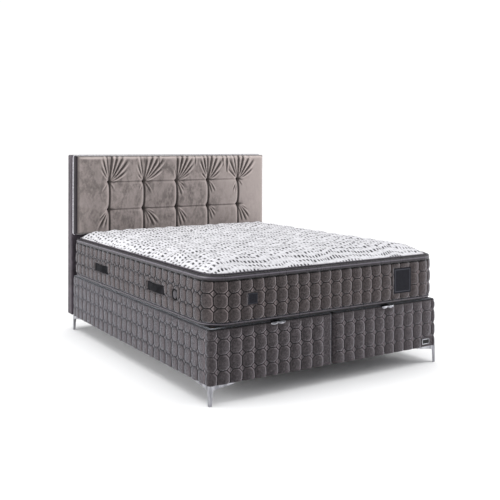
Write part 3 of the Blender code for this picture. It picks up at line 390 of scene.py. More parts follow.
def headboard_velvet(name, plain, sheen=1.0):
    """Crushed velvet with painted light: lighter towards the right and up, painted highlights on ridges and
    right-facing slopes, painted shade in folds and on the pad's rim.
    """
    look = Look(name, roughness=0.85, sheen_weight=sheen, sheen_roughness=0.32,
                sheen_tint=(0.93, 0.91, 0.91), specular_ior_level=0.12)
    spot = look.place()
    nap = look.noise(spot, 330, 3, 0.6)
    marks = look.noise(look.stretched(spot, (1.5, 1.0, 0.9)), 8, 4, 0.62, 0.9)
    cloud = look.noise(spot, 3.0, 2)
    fleck = look.noise(look.stretched(spot, (1.0, 1.0, 0.6)), 52, 3, 0.65, 0.3)
    # the pad's painted highlights and shade, carried on its mesh
    pile = look.own("pile")
    x, _, z = look.parts(spot)
    body = look.layered(shade(plain, 0.62), plain, [
        (look.smooth(marks, 0.36, 0.64), 1.32),
        (look.smooth(fleck, 0.40, 0.66) * 0.6, 1.60),
        (look.smooth(cloud, 0.35, 0.65) * 0.3, 0.86),
        (look.smooth(nap, 0.3, 0.7) * 0.22, 0.6),
        # painted light: lighter towards the right and up
        (look.smooth(x + z * 0.4, 0.45, 1.15) * 0.75, 1.9),
        # painted highlights on ridges and right-facing slopes, painted shade in folds and on the rim
        (look.smooth(pile, 0.0, 1.0) * 0.80, 2.2),
        (look.smooth(pile, 0.0, -1.0) * 0.85, 0.22),
    ])
    return look.done(colour=body, normal=look.relief(nap, 0.0010, 0.5, look.relief(marks, 0.003, 0.5)))


def satin(name, plain, gloss=0.24, band=None):
    """Ribbed satin; on a tape, band is its lower and upper level, for the painted shade on its lower half
    and edges and its painted highlight line.
    """
    look = Look(name, sheen_weight=0.10, sheen_roughness=0.4, specular_ior_level=0.32)
    along, up, _ = look.parts(look.place("UV"))
    ribs = look.maths("SINE", along * (2 * math.pi / 0.0016))
    stretched = look.node("ShaderNodeCombineXYZ", None, {0: along * 90, 1: up * 2})
    pucker = look.noise(stretched.outputs[0], 1, 2)
    body = look.layered(shade(plain, 0.75), plain, [(look.smooth(pucker, 0.3, 0.7), 1.2)])
    if band:
        part = (up - band[0]) / (band[1] - band[0])
        # painted highlight: a light line a little above the tape's middle
        painted_highlight = look.smooth(part, 0.54, 0.62) * look.smooth(part, 0.70, 0.78, 1.0, 0.0)
        # painted shade along both edges of the tape
        ends = look.maths("MAXIMUM", look.smooth(part, 0.30, 0.16), look.smooth(part, 0.84, 0.92))
        body = look.layered(body, plain, [
            # painted shade on the tape's lower half
            (look.smooth(part, 0.55, 0.35) * 0.60, 0.40),
            (painted_highlight * 0.60, tone(128, 124, 132)),
            (ends * 0.92, 0.10),
        ])
    roughness = look.smooth(pucker, 0.25, 0.75, gloss, gloss + 0.18)
    normal = look.relief(ribs, 0.0001, 0.5, look.relief(pucker, 0.0016, 0.6))
    return look.done(colour=body, roughness=roughness, normal=normal)


def dotted_knit():
    """White knit with rows of dark holes, small and faint in some places and large in others."""
    finishes, sizes = bpy.context.scene.bed_finishes, bpy.context.scene.bed_top
    look = Look("dotted knit", roughness=0.95, sheen_weight=0.25, specular_ior_level=0.15)
    spot = look.place()
    x, y, _ = look.parts(spot)
    sway = look.noise(spot, 5.5, 1, 0.5)
    across = (x + (sway - 0.5) * 0.05) / sizes.dot_across
    along = (y + look.maths("SINE", x * 17 + sway * 5) * 0.012) / sizes.dot_along
    beside = abs(across - look.maths("ROUND", across)) * sizes.dot_across
    ahead = abs(along - look.maths("ROUND", along)) * sizes.dot_along
    zone = look.noise(look.stretched(spot, (1.0, 1.6, 1.0)), 6.5, 2, 0.55, 0.6)
    reach = look.smooth(zone, 0.32, 0.56, 0.0040, 0.0059)
    hole = look.maths("MAXIMUM", beside / reach, ahead / (reach * 1.8))
    dot = look.smooth(hole, 0.80, 1.15, 1.0, 0.0) * look.smooth(zone, 0.26, 0.56, 0.60, 1.0)
    rib = look.maths("SINE", across * (2 * math.pi * 3))
    thread = look.noise(spot, 900, 2, 0.6)
    # painted shade in the grooves where the columns of dots run
    groove = look.smooth(beside, 0.0, 0.0060, 1.0, 0.0) * 0.30
    patch = look.noise(look.stretched(spot, (1.0, 1.7, 1.0)), 42, 3, 0.65)
    body = look.layered(finishes.knit, finishes.knit, [
        (look.smooth(zone, 0.35, 0.7) * 0.5, 0.88),
        (look.smooth(patch, 0.50, 0.64) * 0.75, 0.62),
        (groove, 0.62),
        (dot, finishes.knit_dot),
    ])
    relief = look.relief(thread, 0.0008, 0.5, look.relief(rib * 0.3 - dot, 0.0014, 0.8))
    return look.done(colour=body, normal=relief)


def chrome_plate():
    look = Look("chrome", metallic=1.0)
    spot = look.place()
    wipe = look.noise(spot, 60, 2)
    cast = look.noise(look.stretched(spot, (1.0, 1.0, 0.25)), 34, 2, 0.5, 0.6)
    body = look.mix(look.smooth(cast, 0.40, 0.58), (0.22, 0.22, 0.24), (0.42, 0.42, 0.45))
    return look.done(colour=body, roughness=look.smooth(wipe, 0.3, 0.7, 0.08, 0.18))


def zinc_steel():
    look = Look("zinc plated steel", metallic=1.0)
    grain = look.noise(look.place(), 140, 3)
    patch = look.cells(look.place(), 90)
    body = look.mix(look.smooth(patch, 0.2, 0.8), (0.50, 0.51, 0.53), (0.66, 0.67, 0.69))
    rough = look.smooth(grain, 0.3, 0.7, 0.28, 0.46)
    return look.done(colour=body, roughness=rough, normal=look.relief(grain, 0.0002, 0.4))


def chipboard():
    look = Look("chipboard", roughness=0.8)
    chips = look.cells(look.place(), 260)
    dust = look.noise(look.place(), 500, 3, 0.6)
    body = look.mix(look.smooth(chips, 0.1, 0.7), tone(196, 164, 122), tone(160, 126, 86))
    body = look.mix(look.smooth(dust, 0.4, 0.7) * 0.5, body, tone(222, 196, 156))
    return look.done(colour=body, normal=look.relief(chips, 0.0006, 0.5))


def beech():
    look = Look("beech", coat_weight=0.15, coat_roughness=0.3)
    grain = look.noise(look.stretched(look.place(), (3.0, 60.0, 60.0)), 3, 4, 0.6, 0.3)
    flecks = look.noise(look.stretched(look.place(), (40.0, 500.0, 200.0)), 1.5, 2)
    body = look.mix(look.smooth(grain, 0.3, 0.7), tone(214, 176, 130), tone(190, 146, 100))
    body = look.mix(look.smooth(flecks, 0.62, 0.74) * 0.5, body, tone(150, 104, 66))
    rough = look.smooth(grain, 0.3, 0.7, 0.42, 0.58)
    return look.done(colour=body, roughness=rough, normal=look.relief(grain, 0.0004, 0.4))


def grey_laminate():
    look = Look("grey laminate")
    print_of = look.noise(look.stretched(look.place(), (60.0, 6.0, 60.0)), 2, 3, 0.6)
    body = look.mix(look.smooth(print_of, 0.3, 0.7), tone(118, 117, 119), tone(136, 135, 137))
    return look.done(colour=body, roughness=look.smooth(print_of, 0.3, 0.7, 0.45, 0.6))


def moulded_plastic(name="black plastic", shade_of=(24, 24, 26), shine=0.3):
    look = Look(name, base_color=tone(*shade_of), specular_ior_level=shine)
    grain = look.cells(look.place(), 1500)
    rough = look.smooth(look.noise(look.place(), 40, 2), 0.3, 0.7, 0.38, 0.55)
    return look.done(roughness=rough, normal=look.relief(grain, 0.0002, 0.4))


def label_cloth(name):
    look = Look(name, roughness=0.8, sheen_weight=0.04, specular_ior_level=0.08)
    along, up, _ = look.parts(look.place("UV"))
    weave = look.maths("SINE", along * 9000) * look.maths("SINE", up * 9000)
    stripe = look.noise(look.place(), 260, 2)
    beside = 0.5 - abs(along - 0.5)
    above = 0.5 - abs(up - 0.5)
    rim = abs(look.maths("MINIMUM", beside, above) - 0.07)
    thread = look.smooth(rim, 0.008, 0.018, 1.0, 0.0)
    body = look.mix(look.smooth(stripe, 0.3, 0.7), tone(28, 28, 33), tone(42, 42, 48))
    body = look.mix(thread * 0.6, body, tone(96, 96, 104))
    return look.done(colour=body, normal=look.relief(weave, 0.0002, 0.5))


def webbing():
    """Dark woven strap, a little uneven in its shade."""
    look = Look("webbing", roughness=0.8, sheen_weight=0.02, specular_ior_level=0.06)
    spot = look.place()
    _, y, z = look.parts(spot)
    weave = look.maths("SINE", y * 2600) * look.maths("SINE", z * 2600)
    shift = look.noise(spot, 45, 3, 0.6)
    body = look.mix(look.smooth(shift, 0.35, 0.65), tone(8, 8, 11), tone(30, 29, 33))
    return look.done(colour=body, normal=look.relief(weave, 0.0003, 0.6, look.relief(shift, 0.001, 0.4)))


def vent_mesh():
    """The fine net inside a vent."""
    look = Look("vent mesh", roughness=0.85, sheen_weight=0.1, specular_ior_level=0.1)
    _, y, z = look.parts(look.place())
    net = look.maths("MULTIPLY", look.maths("SINE", y * 3100), look.maths("SINE", z * 3100))
    body = look.mix(look.smooth(net, -0.2, 0.3), tone(48, 46, 50), tone(104, 101, 106))
    return look.done(colour=body, normal=look.relief(net, 0.0004, 0.6))


def lining_cloth():
    look = Look("lining cloth", roughness=0.9, sheen_weight=0.1)
    spot = look.place()
    felt = look.noise(spot, 380, 3, 0.7)
    body = look.mix(look.smooth(felt, 0.3, 0.7), tone(26, 26, 28), tone(44, 43, 46))
    return look.done(colour=body, normal=look.relief(felt, 0.0006, 0.5))


def pale_floor():
    look = Look("studio floor", roughness=0.75, specular_ior_level=0.2)
    dust = look.noise(look.place(), 2, 2)
    light = bpy.context.scene.bed_finishes.floor
    return look.done(colour=look.mix(look.smooth(dust, 0.2, 0.8), light, shade(light, 0.985)))


# Modelling helpers

def deselect():
    for item in bpy.context.selected_objects:
        item.select_set(False)


def take(item):
    deselect()
    item.select_set(True)
    bpy.context.view_layer.objects.active = item


def named(name):
    item = bpy.context.active_object
    item.name = name
    item.data.name = name
    return item


def paint(item, finish):
    item.data.materials.clear()
    item.data.materials.append(finish)


def applied(item):
    """Move a piece's place, turn and scale into its mesh."""
    take(item)
    bpy.ops.object.transform_apply(location=True, rotation=True, scale=True)


def settle(item, finish, body, replaced=(), angle=None):
    """Put the finished piece at the origin, give it its finish and let it ride."""
    applied(item)
    if angle is None:
        bpy.ops.object.shade_smooth()
    else:
        bpy.ops.object.shade_smooth_by_angle(angle=math.radians(angle))
    paint(item, finish)
    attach(item, body)
    if replaced:
        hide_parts(*replaced)
    return item


@contextmanager
def editing(item, kind="VERT", chosen=None):
    """Edit mode on one piece; chosen, if given, first selects all of it or none."""
    take(item)
    bpy.ops.object.mode_set(mode="EDIT")
    bpy.ops.mesh.select_mode(type=kind)
    if chosen:
        bpy.ops.mesh.select_all(action=chosen)
    yield
    bpy.ops.object.mode_set(mode="OBJECT")


def turn_outwards():
    bpy.ops.mesh.select_all(action="SELECT")
    bpy.ops.mesh.normals_make_consistent(inside=False)


def weld(item):
    """Close a skin where its edges meet, with its faces turned outwards."""
    with editing(item, chosen="SELECT"):
        bpy.ops.mesh.remove_doubles(threshold=WELD)
        turn_outwards()


def pick_open_edge(item):
    with editing(item, "EDGE", "DESELECT"):
        bpy.ops.mesh.select_non_manifold(extend=False, use_wire=False, use_boundary=True,
                                         use_multi_face=False, use_non_contiguous=False, use_verts=False)


def grown_edge(item, step):
    """Extrude the selected edge of a skin and return the new points, to be put in their places."""
    with editing(item, "EDGE"):
        bpy.ops.mesh.extrude_region_move(TRANSFORM_OT_translate={"value": step})
    return [vert for vert in item.data.vertices if vert.select]


def fill_edge(item):
    """Close a skin with a face across its selected edge."""
    with editing(item, "EDGE"):
        bpy.ops.mesh.edge_face_add()
        turn_outwards()


def pick_edges(item, wanted):
    """Select the edges of a piece whose ends both lie where wanted says."""
    with editing(item, "EDGE"):
        bpy.ops.mesh.select_all(action="DESELECT")
    for edge in item.data.edges:
        edge.select = all(wanted(item.data.vertices[index].co) for index in edge.vertices)


def drop_edge(item, level):
    """Drop a skirt from a skin's open edge to a level and close it there."""
    pick_open_edge(item)
    for vert in grown_edge(item, (0, 0, -0.01)):
        vert.co.z = level
    fill_edge(item)


def modified(item, kind, **settings):
    """Give a piece one modifier and apply it."""
    take(item)
    step = item.modifiers.new(kind.lower(), kind)
    for key, value in settings.items():
        setattr(step, key, value)
    bpy.ops.object.modifier_apply(modifier=step.name)


def copied(piece, name, place, facing):
    """A copy of a piece that faces +X, with its own mesh, facing +X or -X at a place."""
    take(piece)
    bpy.ops.object.duplicate(linked=False)
    item = named(name)
    item.location = place
    item.rotation_euler.z = 0 if facing > 0 else math.pi
    return item


def delete(item):
    take(item)
    bpy.ops.object.delete()


def raised_cloth(name, cuts, flat, middle, facing, stand_off):
    """A sheet on an upright face that looks along Y; stand_off(u, v) is its distance from there."""
    deselect()
    bpy.ops.mesh.primitive_grid_add(x_subdivisions=cuts[0], y_subdivisions=cuts[1], size=1)
    item = named(name)
    for vert in item.data.vertices:
        u, v = vert.co.x, vert.co.y
        away = facing * stand_off(u, v)
        vert.co = middle + Vector((-facing * u * flat[0], away, v * flat[1]))
    return item


def skin(name, places, charted=None, quilted=None):
    """Cloth laid from a grid: places is rows by columns of points, charted its UV map."""
    rows, columns = places.shape[0] - 1, places.shape[1] - 1
    deselect()
    bpy.ops.mesh.primitive_grid_add(x_subdivisions=columns, y_subdivisions=rows, size=2)
    item = named(name)
    mesh = item.data
    mesh.vertices.foreach_set("co", places.astype(np.float32).ravel())
    if charted is not None:
        corners = np.empty(len(mesh.loops), np.int32)
        mesh.loops.foreach_get("vertex_index", corners)
        flat = charted.reshape(-1, 2).astype(np.float32)
        mesh.uv_layers.active.data.foreach_set("uv", flat[corners].ravel())
    if quilted is not None:
        carried = mesh.attributes.new("quilted", "FLOAT", "POINT")
        carried.data.foreach_set("value", quilted.astype(np.float32).ravel())
    mesh.update()
    return item


class Plan:
    """A rounded rectangle seen from above, walked anticlockwise from the middle of its head side."""

    def __init__(self, low_x, high_x, low_y, high_y, radius):
        self.low_x, self.high_x, self.low_y, self.high_y = low_x, high_x, low_y, high_y
        self.radius = radius
        wide = high_x - low_x - 2 * radius
        long = high_y - low_y - 2 * radius
        bend = math.pi / 2 * radius
        self.runs = [wide / 2, bend, long, bend, wide, bend, long, bend, wide / 2]
        self.stops = np.concatenate([[0], np.cumsum(self.runs)])

    def foot_start(self):
        """Distance along the walk to where the foot side's line would start at low x."""
        return self.stops[4] - self.radius

    def corner(self, index, inset):
        """Centre of a corner's bend; the corners are counted from head left."""
        radius = np.maximum(self.radius - inset, 0.0006)
        reach = inset + radius
        x = self.low_x + reach if index in (0, 1) else self.high_x - reach
        y = self.high_y - reach if index in (0, 3) else self.low_y + reach
        return x, y, radius

    def walk(self, along, inset):
        """Points and outward directions: along is one number a column, inset one a row."""
        inset = np.asarray(inset, float)[:, None]
        along = np.asarray(along, float)[None, :]
        shape = np.broadcast_shapes(inset.shape, along.shape)
        x, y, out_x, out_y = (np.zeros(shape) for _ in range(4))
        section = np.clip(np.searchsorted(self.stops, along[0], side="right") - 1, 0, 8)
        middle_x = (self.low_x + self.high_x) / 2
        for index in range(9):
            picked = section == index
            if not picked.any():
                continue
            part = (along[:, picked] - self.stops[index]) / self.runs[index]
            if index % 2:
                corner = (index - 1) // 2
                centre_x, centre_y, radius = self.corner(corner, inset)
                angle = math.radians(90 * (corner + 1)) + part * math.pi / 2
                way_x, way_y = np.cos(angle), np.sin(angle)
                x[:, picked] = centre_x + radius * way_x
                y[:, picked] = centre_y + radius * way_y
            else:
                quarter = math.radians(90 * (index // 2 + 1))
                way_x, way_y = math.cos(quarter), math.sin(quarter)
                ends = []
                for corner in (index // 2 - 1, index // 2):
                    if corner < 0 or corner > 3:
                        ends.append((middle_x + 0 * inset, self.high_y - inset))
                    else:
                        centre_x, centre_y, radius = self.corner(corner, inset)
                        ends.append((centre_x + radius * way_x, centre_y + radius * way_y))
                x[:, picked] = ends[0][0] + (ends[1][0] - ends[0][0]) * part
                y[:, picked] = ends[0][1] + (ends[1][1] - ends[0][1]) * part
                way_x, way_y = way_x + 0 * part, way_y + 0 * part
            out_x[:, picked] = np.broadcast_to(way_x, x[:, picked].shape)
            out_y[:, picked] = np.broadcast_to(way_y, y[:, picked].shape)
        return x, y, out_x, out_y


# Places of the grid lines in one cell, gathered at its seams, and the least space between two lines
CELL_STEPS = np.array([0, 0.03, 0.065, 0.105, 0.15, 0.20, 0.27, 0.37])
CELL_STEPS = np.concatenate([CELL_STEPS, [0.5], 1 - CELL_STEPS[:0:-1]])
LEAST_SPACE = 0.0012


def lines(first, last, pitch, origin, extra=()):
    """Grid lines from first to last that gather at the seams, one cell every pitch from origin."""
    low = math.floor((first - origin) / pitch) - 1
    high = math.ceil((last - origin) / pitch) + 1
    stops = [origin + pitch * (index + step) for index in range(low, high) for step in CELL_STEPS]
    stops = [stop for stop in stops if first + LEAST_SPACE < stop < last - LEAST_SPACE]
    kept = sorted([first, last, *[stop for stop in extra if first < stop < last]])
    stops = [stop for stop in stops if min(abs(stop - other) for other in kept) > LEAST_SPACE]
    return sorted(stops + kept)


def spaced(first, last, step):
    count = max(int(math.ceil(abs(last - first) / step)), 1)
    return [first + (last - first) * index / count for index in range(count + 1)]


def smooth_least(first, second, reach):
    """The smaller of two, rounded where they meet."""
    overlap = np.clip(reach - np.abs(first - second), 0, None) / reach
    return np.minimum(first, second) - overlap ** 3 * reach / 6


def soft_step(value, low, high):
    """A smooth rise from 0 at low to 1 at high."""
    part = np.clip((value - low) / (high - low), 0, 1)
    return part * part * (3 - 2 * part)


def between(value, low, high):
    """1 between two soft steps, each given as its start and end, and 0 outside them."""
    return soft_step(value, *low) * (1 - soft_step(value, *high))


def bell(value, reach, power=2):
    """1 where value is 0, fading to 0 on both sides."""
    return np.exp(-np.abs(value / reach) ** power)


def spread(row_values, like):
    """One number a row, repeated over all the columns of a grid."""
    return np.asarray(row_values)[:, None] + 0 * like


def ripple(along, height, pitch, sway, pace):
    """Small waves along a tape or a cord; sway and pace make their spacing uneven."""
    return height * np.sin(along * 2 * math.pi / pitch + sway * np.sin(along * pace))[None, :]


def band(name, plan, columns, inset, level, charted_up, rise):
    """A closed band along a plan's walk: rise lifts it outwards, charted_up is its UV map's height."""
    x, y, out_x, out_y = plan.walk(columns, inset)
    places = np.stack([x + out_x * rise, y + out_y * rise, spread(level, x)], axis=-1)
    item = skin(name, places, np.stack([columns[None, :] + 0 * x, spread(charted_up, x)], axis=-1))
    weld(item)
    return item


CROWN_SHARE = 0.45      # how far from its seam a cell is at its full height, as a share of its width
DIAMOND_SHARE = 0.45    # height of a small diamond as a share of a cell's


def swell(across, up, width, height):
    """Height of the quilting at a place, 0 at the seams and 1 at the middle of a cell."""
    sizes = bpy.context.scene.bed_quilt
    beside = np.abs(across - np.round(across)) * width
    above = np.abs(up - np.round(up)) * height
    slant = (beside + above - sizes.diamond) * math.sqrt(0.5)
    cell = smooth_least(smooth_least(beside, above, sizes.corner), slant, sizes.corner)
    crown = np.sin(math.pi / 2 * np.clip(cell / (CROWN_SHARE * width), 0, 1) ** 0.55)
    small = DIAMOND_SHARE * np.sin(math.pi / 2 * np.clip(-slant / sizes.diamond * 1.6, 0, 1) ** 0.6)
    return np.where(cell > 0, crown, small)


def wobbled(across, up, amount=0.022):
    """Cell numbers with the sewing's unevenness: each seam wanders a little."""
    side = np.sin(up * 2.9 + across * 0.7) + 0.5 * np.sin(across * 2.3 + up * 5.1)
    rise = np.sin(across * 2.1 + up * 0.9) + 0.5 * np.sin(across * 5.3 + 1.0)
    return across + amount * side, up + amount * rise


def joined(*runs):
    """Grid lines of neighbouring runs as one rising list."""
    stops = []
    for run in runs:
        stops += [stop for stop in run if not stops or stop > stops[-1] + 1e-6]
    return np.array(stops)


# Box covers

COVER_CLOTH = 0.012      # thickness of the padded cloth
COVER_WALL = 0.0303      # how far the cover reaches inwards over the wall
COVER_RIM = 0.009        # radius of its rim
COVER_CORNER = 0.022     # radius of its upright corners
COVER_SEAMS = {"left": (-0.602, 0.1725), "right": (0.080, 0.1655)}    # where two seams cross: x and z
SEAM_SINK = 0.0012       # how deep a seam is pulled in
HIDDEN_STEP = 0.05       # space between the grid lines of a side that doesn't show
BEND_CALM = 0.75         # how much fainter the seams' lines, and the cells' painted highlights and shade, are at the foot corner
RIM_FADE = (0.362, 0.384)        # levels between which the quilting flattens
RIM_END = (0.3885, 0.3915)       # levels between which it ends
PLATE_PLACE = ((0.668, 0.676), (0.160, 0.168))    # the plate's bare corner: from x, up to z
BEND_REACH = 0.03        # width of the calmer strip at the foot corner
TURN_IN = 0.001          # size of the small turns of the cover's inner edges


def cover_lines(plan, side, pitch, origin):
    """Grid lines round one box: close on its outer side and foot, wide where it is hidden."""
    stops = plan.stops
    fine_start, fine_end = (stops[1], stops[5] + 0.02) if side < 0 else (stops[4] - 0.02, stops[8])
    fine = lines(fine_start, fine_end, pitch, origin, stops[2:8])
    return joined(spaced(0, fine_start, HIDDEN_STEP), fine, spaced(fine_end, stops[9], HIDDEN_STEP))


def cover_section(low, high, seam_z):
    """Rows of a cover from its foot over the rim and down inside: inset, level, lean and way walked."""
    quilt = bpy.context.scene.bed_quilt
    face_top = high.z - COVER_RIM
    face = lines(low.z, face_top, quilt.base_cell_height, seam_z)
    bend = np.linspace(0, math.pi / 2, 8)[1:]
    rows = [(0.0, level, 0.0, level) for level in face]
    rows += [(COVER_RIM * (1 - math.cos(turn)), face_top + COVER_RIM * math.sin(turn), turn,
              face_top + COVER_RIM * turn) for turn in bend]
    inside = [(COVER_WALL - TURN_IN, high.z), (COVER_WALL, high.z - TURN_IN),
              (COVER_WALL, high.z - COVER_CLOTH), (COVER_CLOTH, high.z - COVER_CLOTH),
              (COVER_CLOTH, low.z + TURN_IN), (COVER_CLOTH - TURN_IN, low.z), (0.0, low.z)]
    walked = rows[-1][3]
    rows += [(inset, level, 0.0, walked + 0.01 * number) for number, (inset, level) in enumerate(inside, 1)]
    return len(face) + len(bend), np.array(rows).T


def box_cover(word, side):
    """One box's quilted cover: up its walls, over the rim and down inside to the boards."""
    quilt = bpy.context.scene.bed_quilt
    width, height = quilt.base_cell_width, quilt.base_cell_height
    low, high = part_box("base_cover_" + word)
    seam_x, seam_z = COVER_SEAMS[word]
    plan = Plan(low.x, high.x, low.y, high.y, COVER_CORNER)
    origin = plan.foot_start() + seam_x - low.x
    columns = cover_lines(plan, side, width, origin)
    front_rows, (inset, level, lean, walked) = cover_section(low, high, seam_z)
    x, y, out_x, out_y = plan.walk(columns, inset)
    level, lean, walked = spread(level, x), spread(lean, x), spread(walked, x)
    across, up = wobbled((columns[None, :] - origin) / width + 0 * x, (walked - seam_z) / height)
    amount = cover_amount(plan, columns, x, level, side, front_rows)
    rise = amount * (quilt.base_puff * swell(across, up, width, height) - SEAM_SINK)
    places = np.stack([
        x + out_x * rise * np.cos(lean),
        y + out_y * rise * np.cos(lean),
        level + rise * np.sin(lean),
    ], axis=-1)
    lined = amount * (1 - BEND_CALM * bell(columns - bend_middle(plan, side), BEND_REACH)[None, :])
    item = skin("quilted_cover_" + word, places, np.stack([across, up], axis=-1), lined)
    weld(item)
    return item


def bend_middle(plan, side):
    """Distance along the walk to the middle of a box's outer foot corner."""
    first = 3 if side < 0 else 5
    return (plan.stops[first] + plan.stops[first + 1]) / 2


def cover_amount(plan, columns, x, level, side, front_rows):
    """Where the cover is quilted: on its outer side and foot, below the rim, off the plain strip."""
    stops = plan.stops
    along = columns[None, :] + 0 * x
    if side < 0:
        shown = between(along, (stops[1] + 0.01, stops[2] + 0.04), (stops[5] - 0.01, stops[5] + 0.01))
        strip_start = stops[5] + plan.radius - bpy.context.scene.bed_quilt.plain_strip
        shown = shown * (1 - soft_step(along, strip_start - 0.004, strip_start + 0.004))
    else:
        shown = between(along, (stops[4] - 0.02, stops[4]), (stops[7] - 0.04, stops[8] - 0.01))
        from_x, to_z = PLATE_PLACE
        plate = soft_step(x, *from_x) * (1 - soft_step(level, *to_z)) * (along < stops[5])
        shown = shown * (1 - plate)
    rim = 1 - soft_step(level, *RIM_FADE) * (0.9 if side < 0 else 0.75)
    edge = 1 - soft_step(level, *RIM_END)
    front = (np.arange(x.shape[0]) < front_rows)[:, None]
    return shown * rim * edge * front


class BED_OT_box_covers(bpy.types.Operator):
    """Quilt the covers of the two boxes"""
    bl_idname = "bed.box_covers"
    bl_label = "Box covers"

    def execute(self, context):
        quilt, finishes = context.scene.bed_quilt, context.scene.bed_finishes
        for word, side in SIDES.items():
            item = box_cover(word, side)
            finish = quilted_velour(
                "box velour " + word, finishes.base_velour, finishes.base_warm,
                quilt.base_cell_width, quilt.base_cell_height, 0.5, 1.0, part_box("base_cover_left")[0].y,
                # painted shadow along the top of the box, under the mattress's edge
                [(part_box("base_cover_left")[1].z, 0.011)],
            )
            settle(item, finish, "base", ["base_cover_" + word])
        return {"FINISHED"}


# Mattress

MATTRESS_CORNER = 0.120          # radius of its corners
PIPING_DEPTH = 0.005             # how far the piping stands off the outline
BORDER_SEAM = (-0.6935, 0.4935)  # where two seams of the border cross: x and z
BORDER_CLOTH = 0.008             # thickness of the border's and the tapes' cloth
BORDER_BULGE = 0.003             # how far the border bulges at half height
BORDER_WOBBLE = 0.018            # unevenness of its seams, in cells
HEAD_CALM = 0.85                 # share of the quilting that is flat in front of the headboard
EDGE_FADE = 0.006                # height of the strips at its edges where it flattens
MEET_FADE = 0.02                 # length of the strip where its ends meet
PRESS_REACH = {"label": 0.014, "trim": 0.010}    # how far round a sewn-on piece the quilting is flat
PRESS_SHARE = 0.18               # share of the quilting that is left there
PRESS_SINK = 0.0015              # how far the cloth is pressed in there
FOOT_STRIP = 0.05                # the labels press only what is this near the foot side
SIDE_STRIP = 0.03                # and the grips and vents what is this near the long sides
BAND_STEP = 0.012                # space between the grid lines of tapes and cord
CORD_HALF = 0.0068               # radius of the edge cord
CORD_LIFT = 0.0025               # how far it stands above its node
TAPES = {                        # node, how far a tape's foot lies above the node's, and its depth
    "lower_tape": ("piping_bottom", 0.009, 0.006),
    "upper_tape": ("piping_top", -0.0105, 0.008),
}
TAPE_SHADOW = 0.006                 # reach of the painted shadow beside a tape
TOP_INSET = 0.0253               # where the knit top starts inside the outline
TOP_GRID = (216, 176)            # cells along and across
TOP_CALM = 0.035                 # how far from its edge its quilting is full
TOP_TUCK = 0.0012                # how far its edge is tucked under the cord
HEAD_STRIP = (0.07, 0.13)        # distances from the headboard between which its quilting comes back
CORE_CORNER = 0.111              # radius of the body's corners
CORE_ROUND = 0.008               # radius of its lower edge
CORE_STEP = 0.03                 # space between its grid lines round the outline
CORE_INSETS = [0.05, 0.2, 0.5]   # where its lower face's rows lie inside the outline
CORE_HOLE = (0.31, 0.52)         # the last row lies within this half size; a face closes it


def mattress_plan():
    """The mattress's outline, from the box of its lower piping."""
    low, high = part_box("piping_bottom")
    return Plan(low.x + PIPING_DEPTH, high.x - PIPING_DEPTH, low.y + PIPING_DEPTH, high.y - PIPING_DEPTH,
                MATTRESS_CORNER)


def label_press(x, y, level):
    """How much of the quilting is left beside and under what is sewn on, from 0 to 1."""
    trim = bpy.context.scene.bed_trim
    left = 1.0 + 0 * x
    for name in ("label_small", "label_large"):
        low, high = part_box(name)
        outside = np.maximum(np.maximum(low.x - x, x - high.x), np.maximum(low.z - level, level - high.z))
        pressed = np.minimum(left, soft_step(outside, 0.0, PRESS_REACH["label"]))
        left = np.where(y < low.y + FOOT_STRIP, pressed, left)
    beside = np.abs(x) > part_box("mattress_border")[1].x - SIDE_STRIP
    for place, half_y, half_z in (
        (trim.grip_first, trim.grip_length / 2, trim.grip_height / 2),
        (trim.grip_second, trim.grip_length / 2, trim.grip_height / 2),
        (trim.vent_place, trim.vent_radius, trim.vent_radius),
    ):
        outside = np.maximum(np.abs(y - place) - half_y, np.abs(level - trim.grip_level) - half_z)
        left = np.where(beside, np.minimum(left, soft_step(outside, 0.0, PRESS_REACH["trim"])), left)
    return left


def mattress_border():
    """The quilted border: its face from tape to tape, turned in at both edges."""
    quilt = bpy.context.scene.bed_quilt
    width, height = quilt.border_cell_width, quilt.border_cell_height
    plan = mattress_plan()
    end = plan.stops[9]
    low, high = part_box("mattress_border")
    seam_x, seam_z = BORDER_SEAM
    origin = plan.foot_start() + seam_x - plan.low_x
    columns = np.array(lines(0, end, width, origin, plan.stops[1:9]))
    face = np.array(lines(low.z, high.z, height, seam_z))
    bulge = BORDER_BULGE * np.sin(math.pi * (face - low.z) / (high.z - low.z))
    x, y, out_x, out_y = plan.walk(columns, np.concatenate([-bulge, [BORDER_CLOTH, BORDER_CLOTH, 0.0]]))
    level = spread(np.concatenate([face, [high.z, low.z, low.z]]), x)
    across, up = (columns[None, :] - origin) / width + 0 * x, (level - seam_z) / height
    across, up = wobbled(across, up, BORDER_WOBBLE)
    front = spread(np.arange(len(x)) < len(face), x)
    head = 1 - HEAD_CALM * soft_step(y, high.y - 0.05, high.y - 0.01)
    ends = between(level, (low.z, low.z + EDGE_FADE), (high.z - EDGE_FADE, high.z))
    meet = between(columns[None, :], (0, MEET_FADE), (end - MEET_FADE, end))
    press = label_press(x, y, level)
    amount = front * head * ends * meet * (PRESS_SHARE + (1 - PRESS_SHARE) * press)
    rise = amount * quilt.border_puff * swell(across, up, width, height) - front * PRESS_SINK * (1 - press)
    places = np.stack([x + out_x * rise, y + out_y * rise, level], axis=-1)
    item = skin("border_quilting", places, np.stack([across, up], axis=-1), front * meet * press)
    weld(item)
    return item


